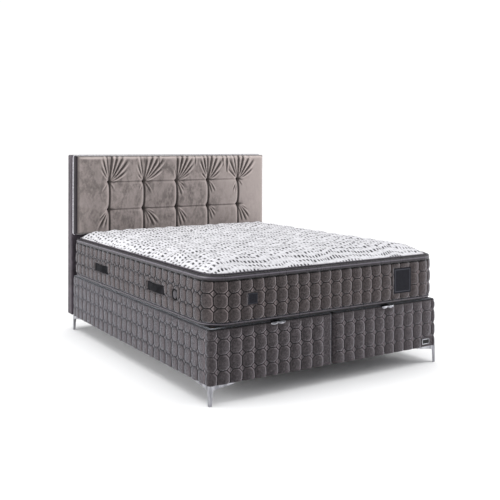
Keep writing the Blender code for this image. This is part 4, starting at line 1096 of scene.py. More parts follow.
def tape_band(name, foot, top, depth, count):
    """A padded tape along the mattress's edge: rounded, grooved and a little puckered."""
    plan = mattress_plan()
    columns = np.array(spaced(0, plan.stops[9], BAND_STEP))
    turn = np.linspace(0, math.pi, count)
    level = np.concatenate([foot + (top - foot) * (1 - np.cos(turn)) / 2, [top, foot, foot]])
    inset = np.concatenate([-depth * np.sin(turn) ** 0.8, [BORDER_CLOTH, BORDER_CLOTH, 0.0]])
    pucker = ripple(columns, 0.00035, 0.031, 2, 9)
    bow = np.concatenate([np.sin(turn), [0, 0, 0]])[:, None]
    groove = 0.0010 * bell(np.concatenate([turn, [0, 0, 0]]) - 1.95, 0.16)[:, None] * bow
    return band(name, plan, columns, inset, level, level, pucker * bow - groove)


def edge_cord():
    """The tape-wrapped cord that stands round the knit top."""
    low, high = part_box("edge_binding")
    plan = mattress_plan()
    columns = np.array(spaced(0, plan.stops[9], BAND_STEP))
    turn = np.linspace(0, 2 * math.pi, 17)
    inset = low.x - plan.low_x + PIPING_DEPTH - CORD_HALF * np.cos(turn)
    level = high.z - CORD_HALF + CORD_LIFT + CORD_HALF * np.sin(turn)
    return band("edge_cord", plan, columns, inset, level, turn / 100, ripple(columns, 0.0003, 0.027, 3, 7))


# Height of the knit top above its edge, by the distance from a side and from the headboard
SIDE_LIFT = np.array([
    (0, 0), (0.010, 0.007), (0.030, 0.020), (0.050, 0.031), (0.080, 0.044), (0.120, 0.055), (0.180, 0.0635),
    (3.0, 0.0635),
])
HEAD_LIFT = np.array([
    (0, 0), (0.014, 0.0016), (0.048, 0.0080), (0.065, 0.0140), (0.078, 0.0220), (0.100, 0.0360),
    (0.130, 0.0480), (0.180, 0.0580), (0.250, 0.0635), (3.0, 0.0635),
])


def crown_lift(distance, from_head):
    """Height of the knit top above its edge: full at the sides, lower in front of the headboard."""
    full, held = np.interp(distance, *SIDE_LIFT.T), np.interp(from_head, *HEAD_LIFT.T)
    return smooth_least(full, held, 0.004)


def eased(low, high, count, way):
    """Grid lines from low to high, a little closer at both ends; way is their spacing's own curve."""
    return 0.35 * way + 0.65 * np.linspace(low, high, count + 1)


def top_grid(plan, rows, columns):
    """Points of the knit top's grid inside a rounded outline, and their distance from its edge."""
    radius = plan.radius
    middle_x, half_x = (plan.low_x + plan.high_x) / 2, (plan.high_x - plan.low_x) / 2
    middle_y, half_y = (plan.low_y + plan.high_y) / 2, (plan.high_y - plan.low_y) / 2
    turn = (1 - np.cos(np.linspace(0, math.pi, rows + 1))) / 2
    y = eased(plan.low_y, plan.high_y, rows, plan.low_y + 2 * half_y * turn)
    from_end = np.clip(np.minimum(y - plan.low_y, plan.high_y - y), 0, radius)
    cut = radius - np.sqrt(np.clip(radius ** 2 - (radius - from_end) ** 2, 0, None))
    part = eased(-1, 1, columns, np.sin(np.linspace(-1, 1, columns + 1) * math.pi / 2))
    x = middle_x + (half_x - cut)[:, None] * part[None, :]
    y = spread(y, x)
    off_x = np.abs(x - middle_x) - (half_x - radius)
    off_y = np.abs(y - middle_y) - (half_y - radius)
    outside = np.hypot(np.clip(off_x, 0, None), np.clip(off_y, 0, None))
    return x, y, np.clip(radius - outside - np.minimum(np.maximum(off_x, off_y), 0), 0, None)


# How the rows of swellings wander across and along: reach, wavelength and start of each wave
WANDER_ACROSS = [(0.020, 0.43, 0), (0.008, 0.17, 1.3)]
WANDER_ALONG = [(0.020, 0.39, 0.6), (0.008, 0.19, 0)]
TOP_LEVEL = 0.75         # share of a swelling that lies below the crown's own level
DOT_RISE = 0.0007        # height of the small swelling between the knit's dots


def wandered(value, other, waves):
    """Places moved to and fro by waves that run along the other direction."""
    for reach, pitch, start in waves:
        value = value + reach * np.sin(other * 2 * math.pi / pitch + start)
    return value


def top_swell(x, y):
    """Height of the knit top's wandering quilting and of its dots."""
    top = bpy.context.scene.bed_top
    turn = 2 * math.pi
    wave = np.abs(np.sin(math.pi * wandered(x, y, WANDER_ACROSS) / top.puff_width)) ** 0.55
    wave *= np.abs(np.sin(math.pi * wandered(y, x, WANDER_ALONG) / top.puff_length)) ** 0.70
    small = DOT_RISE * np.sin(turn * x / top.dot_across) * np.sin(turn * y / top.dot_along)
    return top.puff * (wave - TOP_LEVEL) + small


def knit_top():
    """The crowned knit top: a swelling skin, its skirt and a flat base on the core."""
    low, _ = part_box("pillow_top")
    outer = mattress_plan()
    plan = Plan(outer.low_x + TOP_INSET, outer.high_x - TOP_INSET, outer.low_y + TOP_INSET,
                outer.high_y - TOP_INSET, outer.radius - TOP_INSET)
    x, y, distance = top_grid(plan, *TOP_GRID)
    from_head = plan.high_y - y
    near, far = HEAD_STRIP
    calm = soft_step(distance, 0.0, TOP_CALM) * (1 - HEAD_CALM * soft_step(-from_head, -far, -near))
    edge_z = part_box("edge_binding")[1].z
    level = edge_z + crown_lift(distance, from_head) + calm * top_swell(x, y)
    level = np.where(distance < 1e-6, edge_z - TOP_TUCK, level)
    item = skin("knit_top", np.stack([x, y, level], axis=-1))
    drop_edge(item, low.z)
    return item


def mattress_body():
    """The body under the border: a soft slab whose cloth underside shows between the slats."""
    low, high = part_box("mattress_core")
    plan = Plan(low.x, high.x, low.y, high.y, CORE_CORNER)
    columns = np.array(spaced(0, plan.stops[9], CORE_STEP))
    bend = np.linspace(0, math.pi / 2, 6)
    inset = np.concatenate([[0.0], CORE_ROUND * (1 - np.cos(bend))[1:], CORE_INSETS])
    level = np.concatenate([[low.z + CORE_ROUND], low.z + CORE_ROUND * (1 - np.sin(bend))[1:], [low.z] * 3])
    x, y, _, _ = plan.walk(columns, inset)
    item = skin("mattress_body", np.stack([x, y, spread(level, x)], axis=-1))
    weld(item)
    half_x, half_y = CORE_HOLE
    pick_edges(item, lambda end: end.z < low.z + 1e-5 and abs(end.x) < half_x and abs(end.y) < half_y)
    with editing(item, "EDGE"):
        bpy.ops.mesh.edge_face_add()
    drop_edge(item, high.z)
    return item


class BED_OT_mattress(bpy.types.Operator):
    """Make the mattress: its body, quilted border, tapes, edge cord and knit top"""
    bl_idname = "bed.mattress"
    bl_label = "Mattress"

    def execute(self, context):
        quilt, finishes = context.scene.bed_quilt, context.scene.bed_finishes
        border = mattress_border()
        # painted shadow just above the lower tape and just below the upper tape
        shadow_levels = [(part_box("piping_bottom")[1].z, TAPE_SHADOW),
                (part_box("piping_top")[0].z + TAPES["upper_tape"][1], TAPE_SHADOW)]
        velour = quilted_velour(
            "border velour", finishes.border_velour, finishes.border_warm,
            quilt.border_cell_width, quilt.border_cell_height, 0.55, 0.78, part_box("mattress_border")[0].y,
            shadow_levels,
        )
        settle(border, velour, "lids", ["mattress_border"])
        for name, (node, above, depth) in TAPES.items():
            low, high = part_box(node)
            band = (low.z + above, high.z)
            tape = satin("satin " + name, finishes.tape, band=band)
            settle(tape_band(name, *band, depth, 17), tape, "lids", [node])
        settle(edge_cord(), satin("satin cord", finishes.tape), "lids", ["edge_binding"])
        top = settle(knit_top(), dotted_knit(), "lids", ["pillow_top"], 50)
        body = settle(mattress_body(), lining_cloth(), "lids", ["mattress_core"], 50)
        return {"FINISHED"}


# Headboard

# Folds that start at each tuft, column by column: heading in degrees, length, depth
UPPER_FOLDS = [
    [(-31, 0.13, 0.6), (-17, 0.19, 0.9), (-6, 0.25, 0.8), (5, 0.27, 1.0), (16, 0.26, 0.8), (27, 0.25, 1.0),
     (39, 0.24, 0.9), (54, 0.17, 0.7)],
    [(-44, 0.08, 0.5), (-22, 0.15, 0.6), (-9, 0.22, 0.8), (6, 0.20, 0.7), (19, 0.26, 1.0), (30, 0.26, 0.9),
     (41, 0.25, 1.0), (53, 0.19, 0.8)],
    [(-12, 0.10, 0.4), (2, 0.22, 0.7), (13, 0.26, 0.9), (24, 0.26, 1.0), (35, 0.24, 0.9), (45, 0.20, 0.9),
     (57, 0.14, 0.6)],
    [(-48, 0.09, 0.6), (-25, 0.18, 0.8), (-13, 0.22, 1.0), (-2, 0.26, 0.9), (9, 0.26, 1.0), (21, 0.24, 0.8),
     (35, 0.23, 0.9), (52, 0.13, 0.6)],
    [(-47, 0.15, 0.7), (-27, 0.20, 0.9), (-12, 0.25, 1.0), (1, 0.26, 0.9), (13, 0.26, 1.0), (27, 0.24, 0.9),
     (40, 0.24, 1.0), (54, 0.17, 0.7)],
]
LOWER_FOLDS = [
    [(-16, 0.16, 0.6), (-30, 0.19, 0.8), (-44, 0.12, 0.6)],
    [(16, 0.13, 0.5), (28, 0.17, 0.9), (41, 0.18, 0.8), (56, 0.10, 0.5)],
    [(11, 0.17, 0.7), (25, 0.16, 0.8), (38, 0.13, 0.6)],
    [(14, 0.13, 0.5), (31, 0.11, 0.6), (50, 0.08, 0.4)],
    [(13, 0.16, 0.7), (27, 0.17, 0.9), (40, 0.16, 0.8), (55, 0.10, 0.5)],
]
WRINKLES = [
    [(-34, 0.10, 0.4), (24, 0.07, 0.4)],
    [(-20, 0.08, 0.4), (28, 0.12, 0.5)],
    [(17, 0.13, 0.8), (31, 0.10, 0.6), (49, 0.08, 0.4)],
    [(15, 0.12, 0.7), (29, 0.12, 0.6), (-26, 0.06, 0.3)],
    [(-14, 0.12, 0.8), (-28, 0.11, 0.6), (30, 0.07, 0.4)],
]
# Loose folds under the top edge: place across, height above the upper tufts, length, depth
LOOSE_FOLDS = [
    (0.441, 0.045, 0.20, 0.7), (0.404, 0.085, 0.14, 0.5),
    (-0.155, 0.095, 0.14, 0.4), (0.155, 0.10, 0.14, 0.4),
]
PAD_EDGE = 0.050                 # depth of the pad at its edge
PAD_ROUND = 0.030                # how far from its edge the pad reaches its full depth
PAD_SWELL = 0.012                # how far it swells between the creases
CREASE_HALF = 0.0075             # half the width of an upright crease
CREASE_BEND = 0.0045             # how far a crease bends to the right between the rows
TUFT_REACH = 0.017               # how wide a tuft's hollow is
ROW_SINK = 0.0058                # depth of the seam that joins the tufts of a row
PAD_GRID = (410, 146)            # cells across and up
# Rounds of the pad's side: how far in front of its back each lies, and how far it is drawn in
BOXING = [(0.036, 0.0005), (0.018, 0.0), (0.006, 0.0018), (0.0, 0.0035)]
CORD_STEP = 0.010                # space between the grid lines of the light cord
CORD_TWIST = 0.006               # length of one turn of its yarns
CORD_BEND = 0.008                # radius of its corners
LINING = (1.580, 1.110)          # flat size of the lining on the board's back
FOLD_TURN = (1.25, 0.22)         # how a fold's heading turns: its share at the tuft, and the loss by its end
FOLD_WIDTH = (0.0036, 0.034)     # width of its valley at the tuft, and what it gains with distance
FOLD_START = (0.004, 0.036)      # distances from the tuft between which it deepens
FOLD_END = (0.60, 1.05)          # shares of its length between which it ends
FOLD_VALLEY = 0.75               # depth of its valley as a share of its own depth
FOLD_RIDGE = (1.9, 0.65)         # the ridge beside it: how many widths away, and its height's share
LIP = (0.010, 0.006, 0.0016)     # the lip beside a crease: how far to the right, reach and height
SLOPE_HIGHLIGHT = 1.1                 # how strongly a slope to the right is painted lighter,
RIDGE_AND_FOLD_LIGHT = 200                 # how strongly a ridge is painted lighter and a fold darker,
RIM_SHADE = 0.9                   # and how dark the painted shade on the pad's rim is
BOXING_STRIP = (0.008, 0.012)    # how near the pad's side and its back the darker velvet starts


def fold(across, up, heading, long, deep):
    """One fold: a sharp valley from a tuft outwards, with a soft ridge on the side away from upright."""
    run = np.hypot(across, up)
    way = np.degrees(np.arctan2(across, up))
    turn = heading * (FOLD_TURN[0] - FOLD_TURN[1] * run / long)
    beside = run * np.sin(np.radians(np.clip(way - turn, -90, 90))) * math.copysign(1, heading + 0.5)
    wide = FOLD_WIDTH[0] + FOLD_WIDTH[1] * run
    fade = soft_step(run, *FOLD_START) * (1 - soft_step(run, *(share * long for share in FOLD_END)))
    aside, height = FOLD_RIDGE
    return deep * fade * (height * bell(beside / wide - aside, 1) - FOLD_VALLEY * bell(beside, wide, 1.35))


def creased(x, z, column, rows, low):
    """Depth that one column's crease takes away, with the soft lip on its right."""
    sizes = bpy.context.scene.bed_headboard
    below_rows, below = z < rows[0], z < rows[1]
    lean = CREASE_BEND * np.sin(math.pi * (z - rows[0]) / sizes.row_spacing)
    sway = np.where(below_rows, 0.35 * lean, lean)
    across = x - column - np.where(below, np.abs(sway), 0)
    strength = np.where(below_rows, 0.85, 1.0) * soft_step(z, low.z - 0.01, low.z + 0.02)
    crease = bell(across, CREASE_HALF, 1.2) * strength * (1 - soft_step(z, rows[1] - 0.01, rows[1] + 0.012))
    aside, reach, height = LIP
    return sizes.crease * crease - height * bell(across - aside, reach) * strength * below


def pad_depth(x, z, low, high):
    """How far the pad's cloth stands in front of the board at a place."""
    sizes = bpy.context.scene.bed_headboard
    half = (high.x - low.x) / 2
    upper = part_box("headboard_panel")[1].z - sizes.below_top
    rows = (upper - sizes.row_spacing, upper)
    columns = [sizes.spacing * (index - (sizes.columns - 1) / 2) for index in range(sizes.columns)]
    edge = np.minimum(np.minimum(half - np.abs(x), z - low.z), high.z - z)
    rim = np.clip(edge / PAD_ROUND, 0, 1)
    shown = soft_step(edge, 0.0, 0.02)
    held = soft_step(edge, -0.006, 0.010)
    full = high.y - low.y - 0.0005 - PAD_SWELL
    depth = PAD_EDGE + (full - PAD_EDGE) * np.sqrt(1 - (1 - rim) ** 2)
    past_last = np.clip((np.abs(x) - columns[-1]) / (half - columns[-1]) - 0.5, -0.5, 0.5)
    start = 0.5 if sizes.columns % 2 == 0 else 0
    swelling = np.abs(np.sin(math.pi * (x / sizes.spacing + start)))
    swelling = np.where(np.abs(x) < columns[-1], swelling, np.cos(past_last * math.pi))
    depth += PAD_SWELL * shown * swelling ** 0.6
    for column in columns:
        depth -= creased(x, z, column, rows, low) * shown
        for row in rows:
            depth -= sizes.tuft * bell(np.hypot(x - column, z - row), TUFT_REACH, 1.15) * shown
    fans = (UPPER_FOLDS, rows[1], 1), (LOWER_FOLDS, rows[0], -1), (WRINKLES, rows[1], -1)
    for table, row, upward in fans:
        for number, column in enumerate(columns):
            for heading, long, deep in table[number % len(table)]:
                depth += sizes.pleat * fold(x - column, upward * (z - row), heading, long, deep) * held
    for across, above, long, deep in LOOSE_FOLDS:
        depth += sizes.pleat * fold(x - across, z - rows[1] - above, 0, long, deep) * held
    inside = 1 - soft_step(np.abs(x), columns[-1] + 0.01, columns[-1] + 0.05)
    for row in rows:
        depth -= ROW_SINK * bell(z - row, 0.0052, 1.3) * inside * shown
    return depth


def painted_pile_light(depth, x, z, low, high):
    """Painted light on the velvet: painted highlights on ridges and slopes to the right, painted shade in
    folds and along the pad's rim.
    """
    step = x[0, 1] - x[0, 0]
    lean = -np.gradient(depth, axis=1) / step
    around = depth
    for axis in (0, 1):
        around = sum(np.roll(around, shift, axis=axis) for shift in range(-4, 5)) / 9
    inside = soft_step(np.minimum(x - low.x, high.x - x), 0.012, 0.03)
    from_edge = np.minimum(np.minimum(x - low.x, z - low.z), 0.012 + 1.2 * (high.z - z))
    rim = 1 - soft_step(from_edge, 0.004, 0.034)
    return np.clip((SLOPE_HIGHLIGHT * lean + RIDGE_AND_FOLD_LIGHT * (depth - around)) * inside - RIM_SHADE * rim, -1, 1)


def headboard_pad():
    """The tufted pad: its front from a grid, its side in four rounds, and a flat back."""
    low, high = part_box("headboard_cushion")
    columns, rows = PAD_GRID
    x, z = np.meshgrid(np.linspace(low.x, high.x, columns + 1), np.linspace(low.z, high.z, rows + 1))
    depth = np.clip(pad_depth(x, z, low, high), 0.012, high.y - low.y + 0.008)
    item = skin("headboard_pad", np.stack([x, high.y - depth, z], axis=-1))
    # painted highlights and shade, kept on the pad's mesh for its velvet
    pile = item.data.attributes.new("pile", "FLOAT", "POINT")
    pile.data.foreach_set("value", painted_pile_light(depth, x, z, low, high).astype(np.float32).ravel())
    middle, half = (low + high) / 2, (high - low) / 2
    pick_open_edge(item)
    for reach, draw in BOXING:
        for vert in grown_edge(item, (0, 0.001, 0)):
            vert.co.y = high.y - reach
            for axis in (0, 2):
                off = vert.co[axis] - middle[axis]
                if abs(abs(off) - half[axis]) < 0.006:
                    vert.co[axis] = middle[axis] + math.copysign(half[axis] - draw, off)
    fill_edge(item)
    return item


def headboard_cord():
    """The light twisted cord round the pad's back edge."""
    low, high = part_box("headboard_piping")
    radius = (high.y - low.y) / 2
    plan = Plan(low.x + radius, high.x - radius, low.z + radius, high.z - radius, CORD_BEND)
    columns = np.array(spaced(0, plan.stops[9], CORD_STEP))
    turn = np.linspace(0, 2 * math.pi, 13)
    x, z, out_x, out_z = plan.walk(columns, 0 * turn)
    thick = radius * (1 + ripple(columns, 0.05, CORD_TWIST, 0, 0))
    across = spread(np.cos(turn), x) * thick
    y = (low.y + high.y) / 2 + spread(np.sin(turn), x) * thick
    places = np.stack([x + out_x * across, y, z + out_z * across], axis=-1)
    charted = np.stack([columns[None, :] + 0 * x, spread(turn / 100, x)], axis=-1)
    item = skin("headboard_cord", places, charted)
    weld(item)
    return item


def back_lining():
    """The lining stapled over the back of the headboard's board."""
    low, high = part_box("headboard_panel")

    def stand_off(u, v):
        edge = min((0.5 - abs(u)) * LINING[0], (0.5 - abs(v)) * LINING[1])
        slack = abs(0.0008 * math.sin(u * 31) * math.sin(v * 23) * min(edge / 0.06, 1))
        return 0.0008 + slack + 0.0007 * math.sin(math.pi * min(edge / 0.012, 1))

    middle = Vector(((low.x + high.x) / 2, high.y, (low.z + high.z) / 2))
    return raised_cloth("headboard_lining", (60, 44), LINING, middle, 1, stand_off)


class BED_OT_headboard(bpy.types.Operator):
    """Make the tufted pad of the headboard, its cord and the velvet on its board"""
    bl_idname = "bed.headboard"
    bl_label = "Headboard"

    def execute(self, context):
        finishes = context.scene.bed_finishes
        velvet = headboard_velvet("headboard velvet", finishes.velvet)
        pad = settle(headboard_pad(), velvet, "base", ["headboard_cushion"], 60)
        pad.data.materials.append(headboard_velvet("boxing velvet", tone(60, 54, 60), 0.35))
        low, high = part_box("headboard_cushion")
        for face in pad.data.polygons:
            from_side = min(face.center.x - low.x, high.x - face.center.x)
            if from_side < BOXING_STRIP[0] or face.center.y > high.y - BOXING_STRIP[1]:
                face.material_index = 1
        cord = satin("headboard cord", finishes.cord, 0.45)
        settle(headboard_cord(), cord, "base", ["headboard_piping"])
        paint(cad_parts["headboard_panel"], headboard_velvet("board velvet", tone(66, 60, 66), 0.55))
        lining = settle(back_lining(), lining_cloth(), "base")
        return {"FINISHED"}


# Labels, grips and vents of the mattress

TRIM_SINK = 0.0022       # how deep grips and vents sit in the border
GRIP_FREE = 0.37         # half the free part of a grip, as a share of its length
GRIP_STITCH = 0.40       # where its stitches lie, as a share of its length from the middle
GRIP_WAIST = 0.10        # how much narrower its middle is, as a share of its height
NET_DOME = 0.10          # how far a vent's net is domed, as a share of its radius


def cloth_label(name, node):
    """A blank woven label with a turned-in, stitched edge."""
    low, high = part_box(node)

    def stand_off(u, v):
        edge = min(min(0.5 - abs(u), 0.5 - abs(v)) / 0.10, 1)
        return 0.0002 + 0.0007 * math.sin(edge * math.pi / 2) + abs(0.0005 * math.sin(u * 9 + v * 3))

    middle = Vector(((low.x + high.x) / 2, high.y, (low.z + high.z) / 2))
    return raised_cloth(name, (16, 16), (high.x - low.x, high.z - low.z), middle, -1, stand_off)


def side_grip():
    """One grip, standing off along +X: a rounded strap, flat and sewn down at its ends."""
    trim = bpy.context.scene.bed_trim
    deselect()
    bpy.ops.mesh.primitive_cube_add(size=1)
    item = named("side_grip")
    with editing(item, chosen="SELECT"):
        bpy.ops.mesh.subdivide(number_cuts=23)
    for vert in item.data.vertices:
        out, along, up = vert.co.x + 0.5, vert.co.y, vert.co.z
        free = max(1 - (along / GRIP_FREE) ** 2, 0)
        stitched = 0.0009 * math.exp(-((abs(along) - GRIP_STITCH) / 0.012) ** 2)
        edge = 1 - 0.55 * (2 * abs(up)) ** 6
        vert.co.x = out * trim.grip_thickness * edge + trim.grip_bow * free ** 1.5 - stitched * out
        vert.co.y = along * trim.grip_length
        vert.co.z = up * trim.grip_height * (1 - GRIP_WAIST * free)
    return item


def ring_vent():
    """One vent, facing +X: a moulded ring with a slightly domed net inside."""
    trim = bpy.context.scene.bed_trim
    upright = (0, math.pi / 2, 0)
    deselect()
    bpy.ops.mesh.primitive_uv_sphere_add(segments=40, ring_count=20, radius=trim.vent_radius)
    net = named("vent_net")
    net.scale.z, net.rotation_euler = NET_DOME, upright
    applied(net)
    bpy.ops.mesh.primitive_torus_add(
        major_radius=trim.vent_radius, minor_radius=trim.vent_rim, major_segments=48, minor_segments=12,
        rotation=upright,
    )
    ring = named("ring_vent")
    take(ring)
    net.select_set(True)
    bpy.ops.object.join()
    return ring


def on_both_sides(piece, places, name, finish):
    """Copies of a piece that faces +X, at each place along both sides of the border."""
    level = bpy.context.scene.bed_trim.grip_level
    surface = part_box("mattress_border")[1].x - TRIM_SINK
    copies = []
    for word, side in SIDES.items():
        for number, place in enumerate(places, 1):
            label = "%s_%s_%d" % (name, word, number) if len(places) > 1 else "%s_%s" % (name, word)
            item = copied(piece, label, (side * surface, place, level), side)
            copies.append(settle(item, finish, "lids", angle=50))
    delete(piece)
    return copies


class BED_OT_mattress_trim(bpy.types.Operator):
    """Sew the blank labels, the grips and the vents on the mattress border"""
    bl_idname = "bed.mattress_trim"
    bl_label = "Mattress trim"

    def execute(self, context):
        cloth = label_cloth("label cloth")
        for name, node in (("border_label_small", "label_small"), ("border_label_large", "label_large")):
            item = settle(cloth_label(name, node), cloth, "lids", [node])
        trim = context.scene.bed_trim
        grips = (trim.grip_first, trim.grip_second)
        on_both_sides(side_grip(), grips, "side_grip", webbing())
        net, rim = vent_mesh(), moulded_plastic("vent ring", (9, 9, 11), 0.06)
        for item in on_both_sides(ring_vent(), (trim.vent_place,), "ring_vent", rim):
            item.data.materials.append(net)
            for face in item.data.polygons:
                middle = Vector((0, face.center.y - trim.vent_place, face.center.z - trim.grip_level))
                face.material_index = int(middle.length < trim.vent_radius - trim.vent_rim)
        return {"FINISHED"}


# Hardware

SLAT_COUNT = 14
SLAT_MARGIN = 0.105      # from a lid's end to the middle of its first slat
RAIL_TOP = 0.028         # height of the lid's rails
HOLDER = (0.034, 0.078, 0.0090)    # length, width and height of a slat's holder
HOLDER_INSET = 0.0040    # from the lid's side to a holder
HOLDER_TAPER = 0.92      # width of its top as a share of its foot
# Places of the screws on a guide plate: along the bed and up
FITTING_SCREWS = [(0.165, 0.168), (0.335, 0.162), (0.500, 0.192)]
SCREW_SEAT = 0.0042      # from the plate's far face to the middle of a head
PULL_PLATE = 0.0025      # thickness of a pull's plate
PULL_STRAP = 0.025       # half the width of its strap
PULL_STEP = 0.0146       # how far the strap lies under the rim's level inside
PULL_LOBE = 0.0062       # how much its lip is cut out between the two lobes


def slat_holders(word):
    """The holders of one lid's slat ends: one cap, repeated along the rails and on both of them."""
    low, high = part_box("lid_frame_" + word)
    wide, middle = HOLDER[0], low.z + RAIL_TOP + HOLDER[2] / 2
    first, last = low.y + SLAT_MARGIN, high.y - SLAT_MARGIN
    deselect()
    bpy.ops.mesh.primitive_cube_add(size=1, location=(low.x + HOLDER_INSET + wide / 2, first, middle))
    item = named("slat_holders_" + word)
    item.scale = HOLDER
    applied(item)
    for vert in item.data.vertices:
        if vert.co.z > middle:
            vert.co.y = first + (vert.co.y - first) * HOLDER_TAPER
    modified(item, "BEVEL", width=0.0018, segments=2)
    for count, step in (
        (SLAT_COUNT, (0, (last - first) / (SLAT_COUNT - 1), 0)),
        (2, (high.x - low.x - 2 * HOLDER_INSET - wide, 0, 0)),
    ):
        modified(item, "ARRAY", count=count, use_relative_offset=False, use_constant_offset=True,
                 constant_offset_displace=step)
    return item


def screw_head():
    """A domed screw head with a cross cut into it, facing +X."""
    trim = bpy.context.scene.bed_trim
    radius, height = trim.screw_radius, trim.screw_height
    deselect()
    bpy.ops.mesh.primitive_cylinder_add(
        vertices=16, radius=radius, depth=height, end_fill_type="TRIFAN", rotation=(0, math.pi / 2, 0),
    )
    item = named("screw_head")
    applied(item)
    modified(item, "BEVEL", width=height * 0.45, segments=2)
    for turn in (0, math.pi / 2):
        bpy.ops.mesh.primitive_cube_add(size=1, location=(height / 2, 0, 0), rotation=(turn, 0, 0))
        cut = named("cut")
        cut.scale = (height, radius * 1.3, radius * 0.26)
        modified(item, "BOOLEAN", operation="DIFFERENCE", object=cut)
        delete(cut)
    return item


def fitting_screws():
    """The screws that hold the four guide plates on the box walls."""
    head = screw_head()
    copies = []
    for word, side in SIDES.items():
        for wall, facing in (("outer", -side), ("inner", side)):
            low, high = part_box("guide_plate_%s_%s" % (word, wall))
            face = (low.x if facing > 0 else high.x) + facing * SCREW_SEAT
            copies += [copied(head, "fitting_screw", (face, y, z), facing) for y, z in FITTING_SCREWS]
    delete(head)
    take(copies[0])
    for copy in copies:
        copy.select_set(True)
    bpy.ops.object.join()
    return named("fitting_screws")


def lift_pull(word, node):
    """A chrome pull: a strap from the lid over the rim, ending in a lip of two leaf-shaped lobes."""
    trim = bpy.context.scene.bed_trim
    low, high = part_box(node)
    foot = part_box("base_cover_" + word)[0].y
    over = high.z - PULL_PLATE / 2
    seat = over - PULL_STEP
    reach, drop, wing = trim.pull_reach, trim.pull_drop, trim.pull_half
    profile = [    # y, z, half the width and how far the lobes show, from the lid to the lip's edge
        (high.y, seat, PULL_STRAP, 0), (foot + 0.0443, seat, PULL_STRAP, 0),
        (foot + 0.0310, over, PULL_STRAP, 0), (foot, over, PULL_STRAP, 0),
        (foot - 0.55 * reach, over, 0.62 * wing, 0),
        (foot - 0.86 * reach, over - 0.07 * drop, 0.84 * wing, 0.1),
        (foot - reach, over - 0.30 * drop, 0.95 * wing, 0.35),
        (foot - reach, over - 0.62 * drop, wing, 0.7),
        (foot - 0.93 * reach, over - drop, 0.97 * wing, 1),
    ]
    part = np.linspace(-1, 1, 33)
    waves = np.abs(np.sin(math.pi * part))
    rows = [
        np.stack([(low.x + high.x) / 2 + part * half, y - 0.003 * lobed * waves,
                  z + PULL_LOBE * (1 - waves ** 0.6) * lobed], axis=-1)
        for y, z, half, lobed in profile
    ]
    item = skin("lift_pull_" + word, np.array(rows))
    modified(item, "SOLIDIFY", thickness=PULL_PLATE, offset=0)
    modified(item, "SUBSURF", levels=1)
    weld(item)
    return item


class BED_OT_hardware(bpy.types.Operator):
    """Fit the pulls, the slat holders and the screws of the lift fittings"""
    bl_idname = "bed.hardware"
    bl_label = "Hardware"

    def execute(self, context):
        chrome, plastic, steel = chrome_plate(), moulded_plastic(), zinc_steel()
        for word in SIDES:
            node = "handle_" + word
            settle(lift_pull(word, node), chrome, "lids", [node], 50)
            settle(slat_holders(word), plastic, "lids", angle=40)
        settle(fitting_screws(), steel, "base", angle=40)
        return {"FINISHED"}


# Finishes of the rigid parts

def nodes_named(*starts):
    return [item for name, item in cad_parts.items() if name.startswith(starts)]


class BED_OT_rigid_finishes(bpy.types.Operator):
    """Give the boards, slats, fittings, legs and plate their finishes"""
    bl_idname = "bed.rigid_finishes"
    bl_label = "Rigid finishes"

    def execute(self, context):
        groups = [
            (chipboard(), ("side_panel", "divider_panel", "foot_panel", "head_panel")),
            (grey_laminate(), ("floor_panel",)),
            (beech(), ("lid_frame", "lid_cleat")),
            (chrome_plate(), ("corner_leg", "plate_frame")),
            (zinc_steel(), ("guide_plate", "lift_arm", "carrier_plate", "strut_rod")),
            (moulded_plastic(), ("centre_leg", "plate_inlay", "strut_cylinder")),
        ]
        for finish, starts in groups:
            for item in nodes_named(*starts):
                paint(item, finish)
        return {"FINISHED"}


# Studio

# Area lights: place, what they face, width and height, and watts
AREA_LIGHTS = {
    "side_light": ((-5.2, 0.5, 1.5), (0, 0, 0.5), (2.6, 2.2), 142),
    "front_light": ((4.4, -3.0, 2.5), (0.3, 0.4, 0.7), (2.2, 2.0), 88),
}
# The even light from above: where it comes from, its width in degrees and its strength
SUN = ((0.0, 0.08, 1.0), 65, 2.1)
# World: colour and strength of the light it gives, and of what the camera sees of it
SKY_LIGHT = ((0.97, 0.98, 1, 1), 0.50)
SKY_SEEN = ((1, 1, 1, 1), 1.05)
FLOOR_LEVEL = -0.0005


def lamp_at(kind, name, place, aim, axis, power):
    """A lamp of a kind, turned so that one of its own axes points along aim."""
    deselect()
    bpy.ops.object.light_add(type=kind, location=place)
    lamp = named(name)
    lamp.rotation_euler = Vector(aim).to_track_quat(axis, "Y").to_euler()
    lamp.data.energy = power
    return lamp.data


def studio_lights():
    towards, wide, power = SUN
    lamp_at("SUN", "soft_sun", (0, 0, 6), towards, "Z", power).angle = math.radians(wide)
    for name, (place, target, size, power) in AREA_LIGHTS.items():
        lamp = lamp_at("AREA", name, place, Vector(target) - Vector(place), "-Z", power)
        lamp.shape = "RECTANGLE"
        lamp.size, lamp.size_y = size


def studio_world():
    """Even light from all sides, with a plain white ground where the camera sees it."""
    world = bpy.data.worlds.new("studio light")
    world.use_nodes = True
    tree = world.node_tree
    sky, seen = tree.nodes["Background"], tree.nodes.new("ShaderNodeBackground")
    for node, (tint, strength) in ((sky, SKY_LIGHT), (seen, SKY_SEEN)):
        node.inputs["Color"].default_value = tint
        node.inputs["Strength"].default_value = strength
    ray = tree.nodes.new("ShaderNodeLightPath")
    both = tree.nodes.new("ShaderNodeMixShader")
    for index, output in enumerate((ray.outputs["Is Camera Ray"], sky.outputs[0], seen.outputs[0])):
        tree.links.new(output, both.inputs[index])
    tree.links.new(both.outputs[0], tree.nodes["World Output"].inputs[0])
    bpy.context.scene.world = world


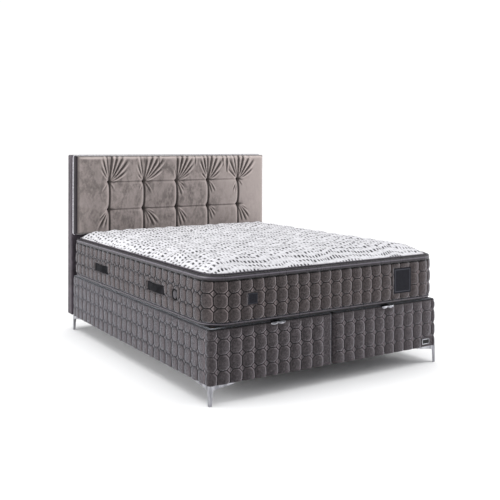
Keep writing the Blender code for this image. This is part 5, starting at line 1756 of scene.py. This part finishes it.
def studio_camera(studio):
    ahead = Vector((math.sin(studio.turn), math.cos(studio.turn), 0))
    right = Vector((math.cos(studio.turn), -math.sin(studio.turn), 0))
    above = Vector((0, 0, 1))
    tipped_right = right * math.cos(studio.roll) + above * math.sin(studio.roll)
    tipped_up = above * math.cos(studio.roll) - right * math.sin(studio.roll)
    deselect()
    bpy.ops.object.camera_add(location=studio.camera)
    camera = named("studio_camera")
    camera.rotation_euler = Matrix((tipped_right, tipped_up, -ahead)).transposed().to_euler()
    camera.data.lens = studio.lens
    camera.data.sensor_width = 36
    camera.data.shift_y = studio.rise
    camera.data.clip_end = 200
    bpy.context.scene.camera = camera


class BED_OT_studio(bpy.types.Operator):
    """Lay the pale floor, hang the lights and stand the camera"""
    bl_idname = "bed.studio"
    bl_label = "Studio"

    def execute(self, context):
        deselect()
        bpy.ops.mesh.primitive_circle_add(
            vertices=96, radius=40, fill_type="NGON", location=(0, 0, FLOOR_LEVEL),
        )
        floor = named("studio_floor")
        paint(floor, pale_floor())
        studio_world()
        studio_lights()
        studio_camera(context.scene.bed_studio)
        context.scene.view_settings.view_transform = "Standard"
        return {"FINISHED"}


OPERATORS = [
    BED_OT_box_covers,
    BED_OT_mattress,
    BED_OT_mattress_trim,
    BED_OT_headboard,
    BED_OT_hardware,
    BED_OT_rigid_finishes,
    BED_OT_studio,
]


class BED_PT_pieces(bpy.types.Panel):
    """The bed's pieces and the studio, in the order in which they are made"""
    bl_idname = "BED_PT_pieces"
    bl_label = "Storage bed"
    bl_space_type = "VIEW_3D"
    bl_region_type = "UI"
    bl_category = "Bed"

    def draw(self, context):
        for operator in OPERATORS:
            self.layout.operator(operator.bl_idname)
        for group in GROUPS:
            held = getattr(context.scene, group)
            for prop in held.bl_rna.properties:
                if prop.identifier in held.__annotations__:
                    self.layout.prop(held, prop.identifier)


def register():
    for name, group in GROUPS.items():
        bpy.utils.register_class(group)
        setattr(bpy.types.Scene, name, PointerProperty(type=group))
    for item in [*OPERATORS, BED_PT_pieces]:
        bpy.utils.register_class(item)


def unregister():
    for item in reversed([*OPERATORS, BED_PT_pieces]):
        bpy.utils.unregister_class(item)
    for name, group in reversed(list(GROUPS.items())):
        delattr(bpy.types.Scene, name)
        bpy.utils.unregister_class(group)


def main():
    register()
    for operator in OPERATORS:
        family, name = operator.bl_idname.split(".")
        getattr(getattr(bpy.ops, family), name)()


if __name__ == "__main__":
    main()
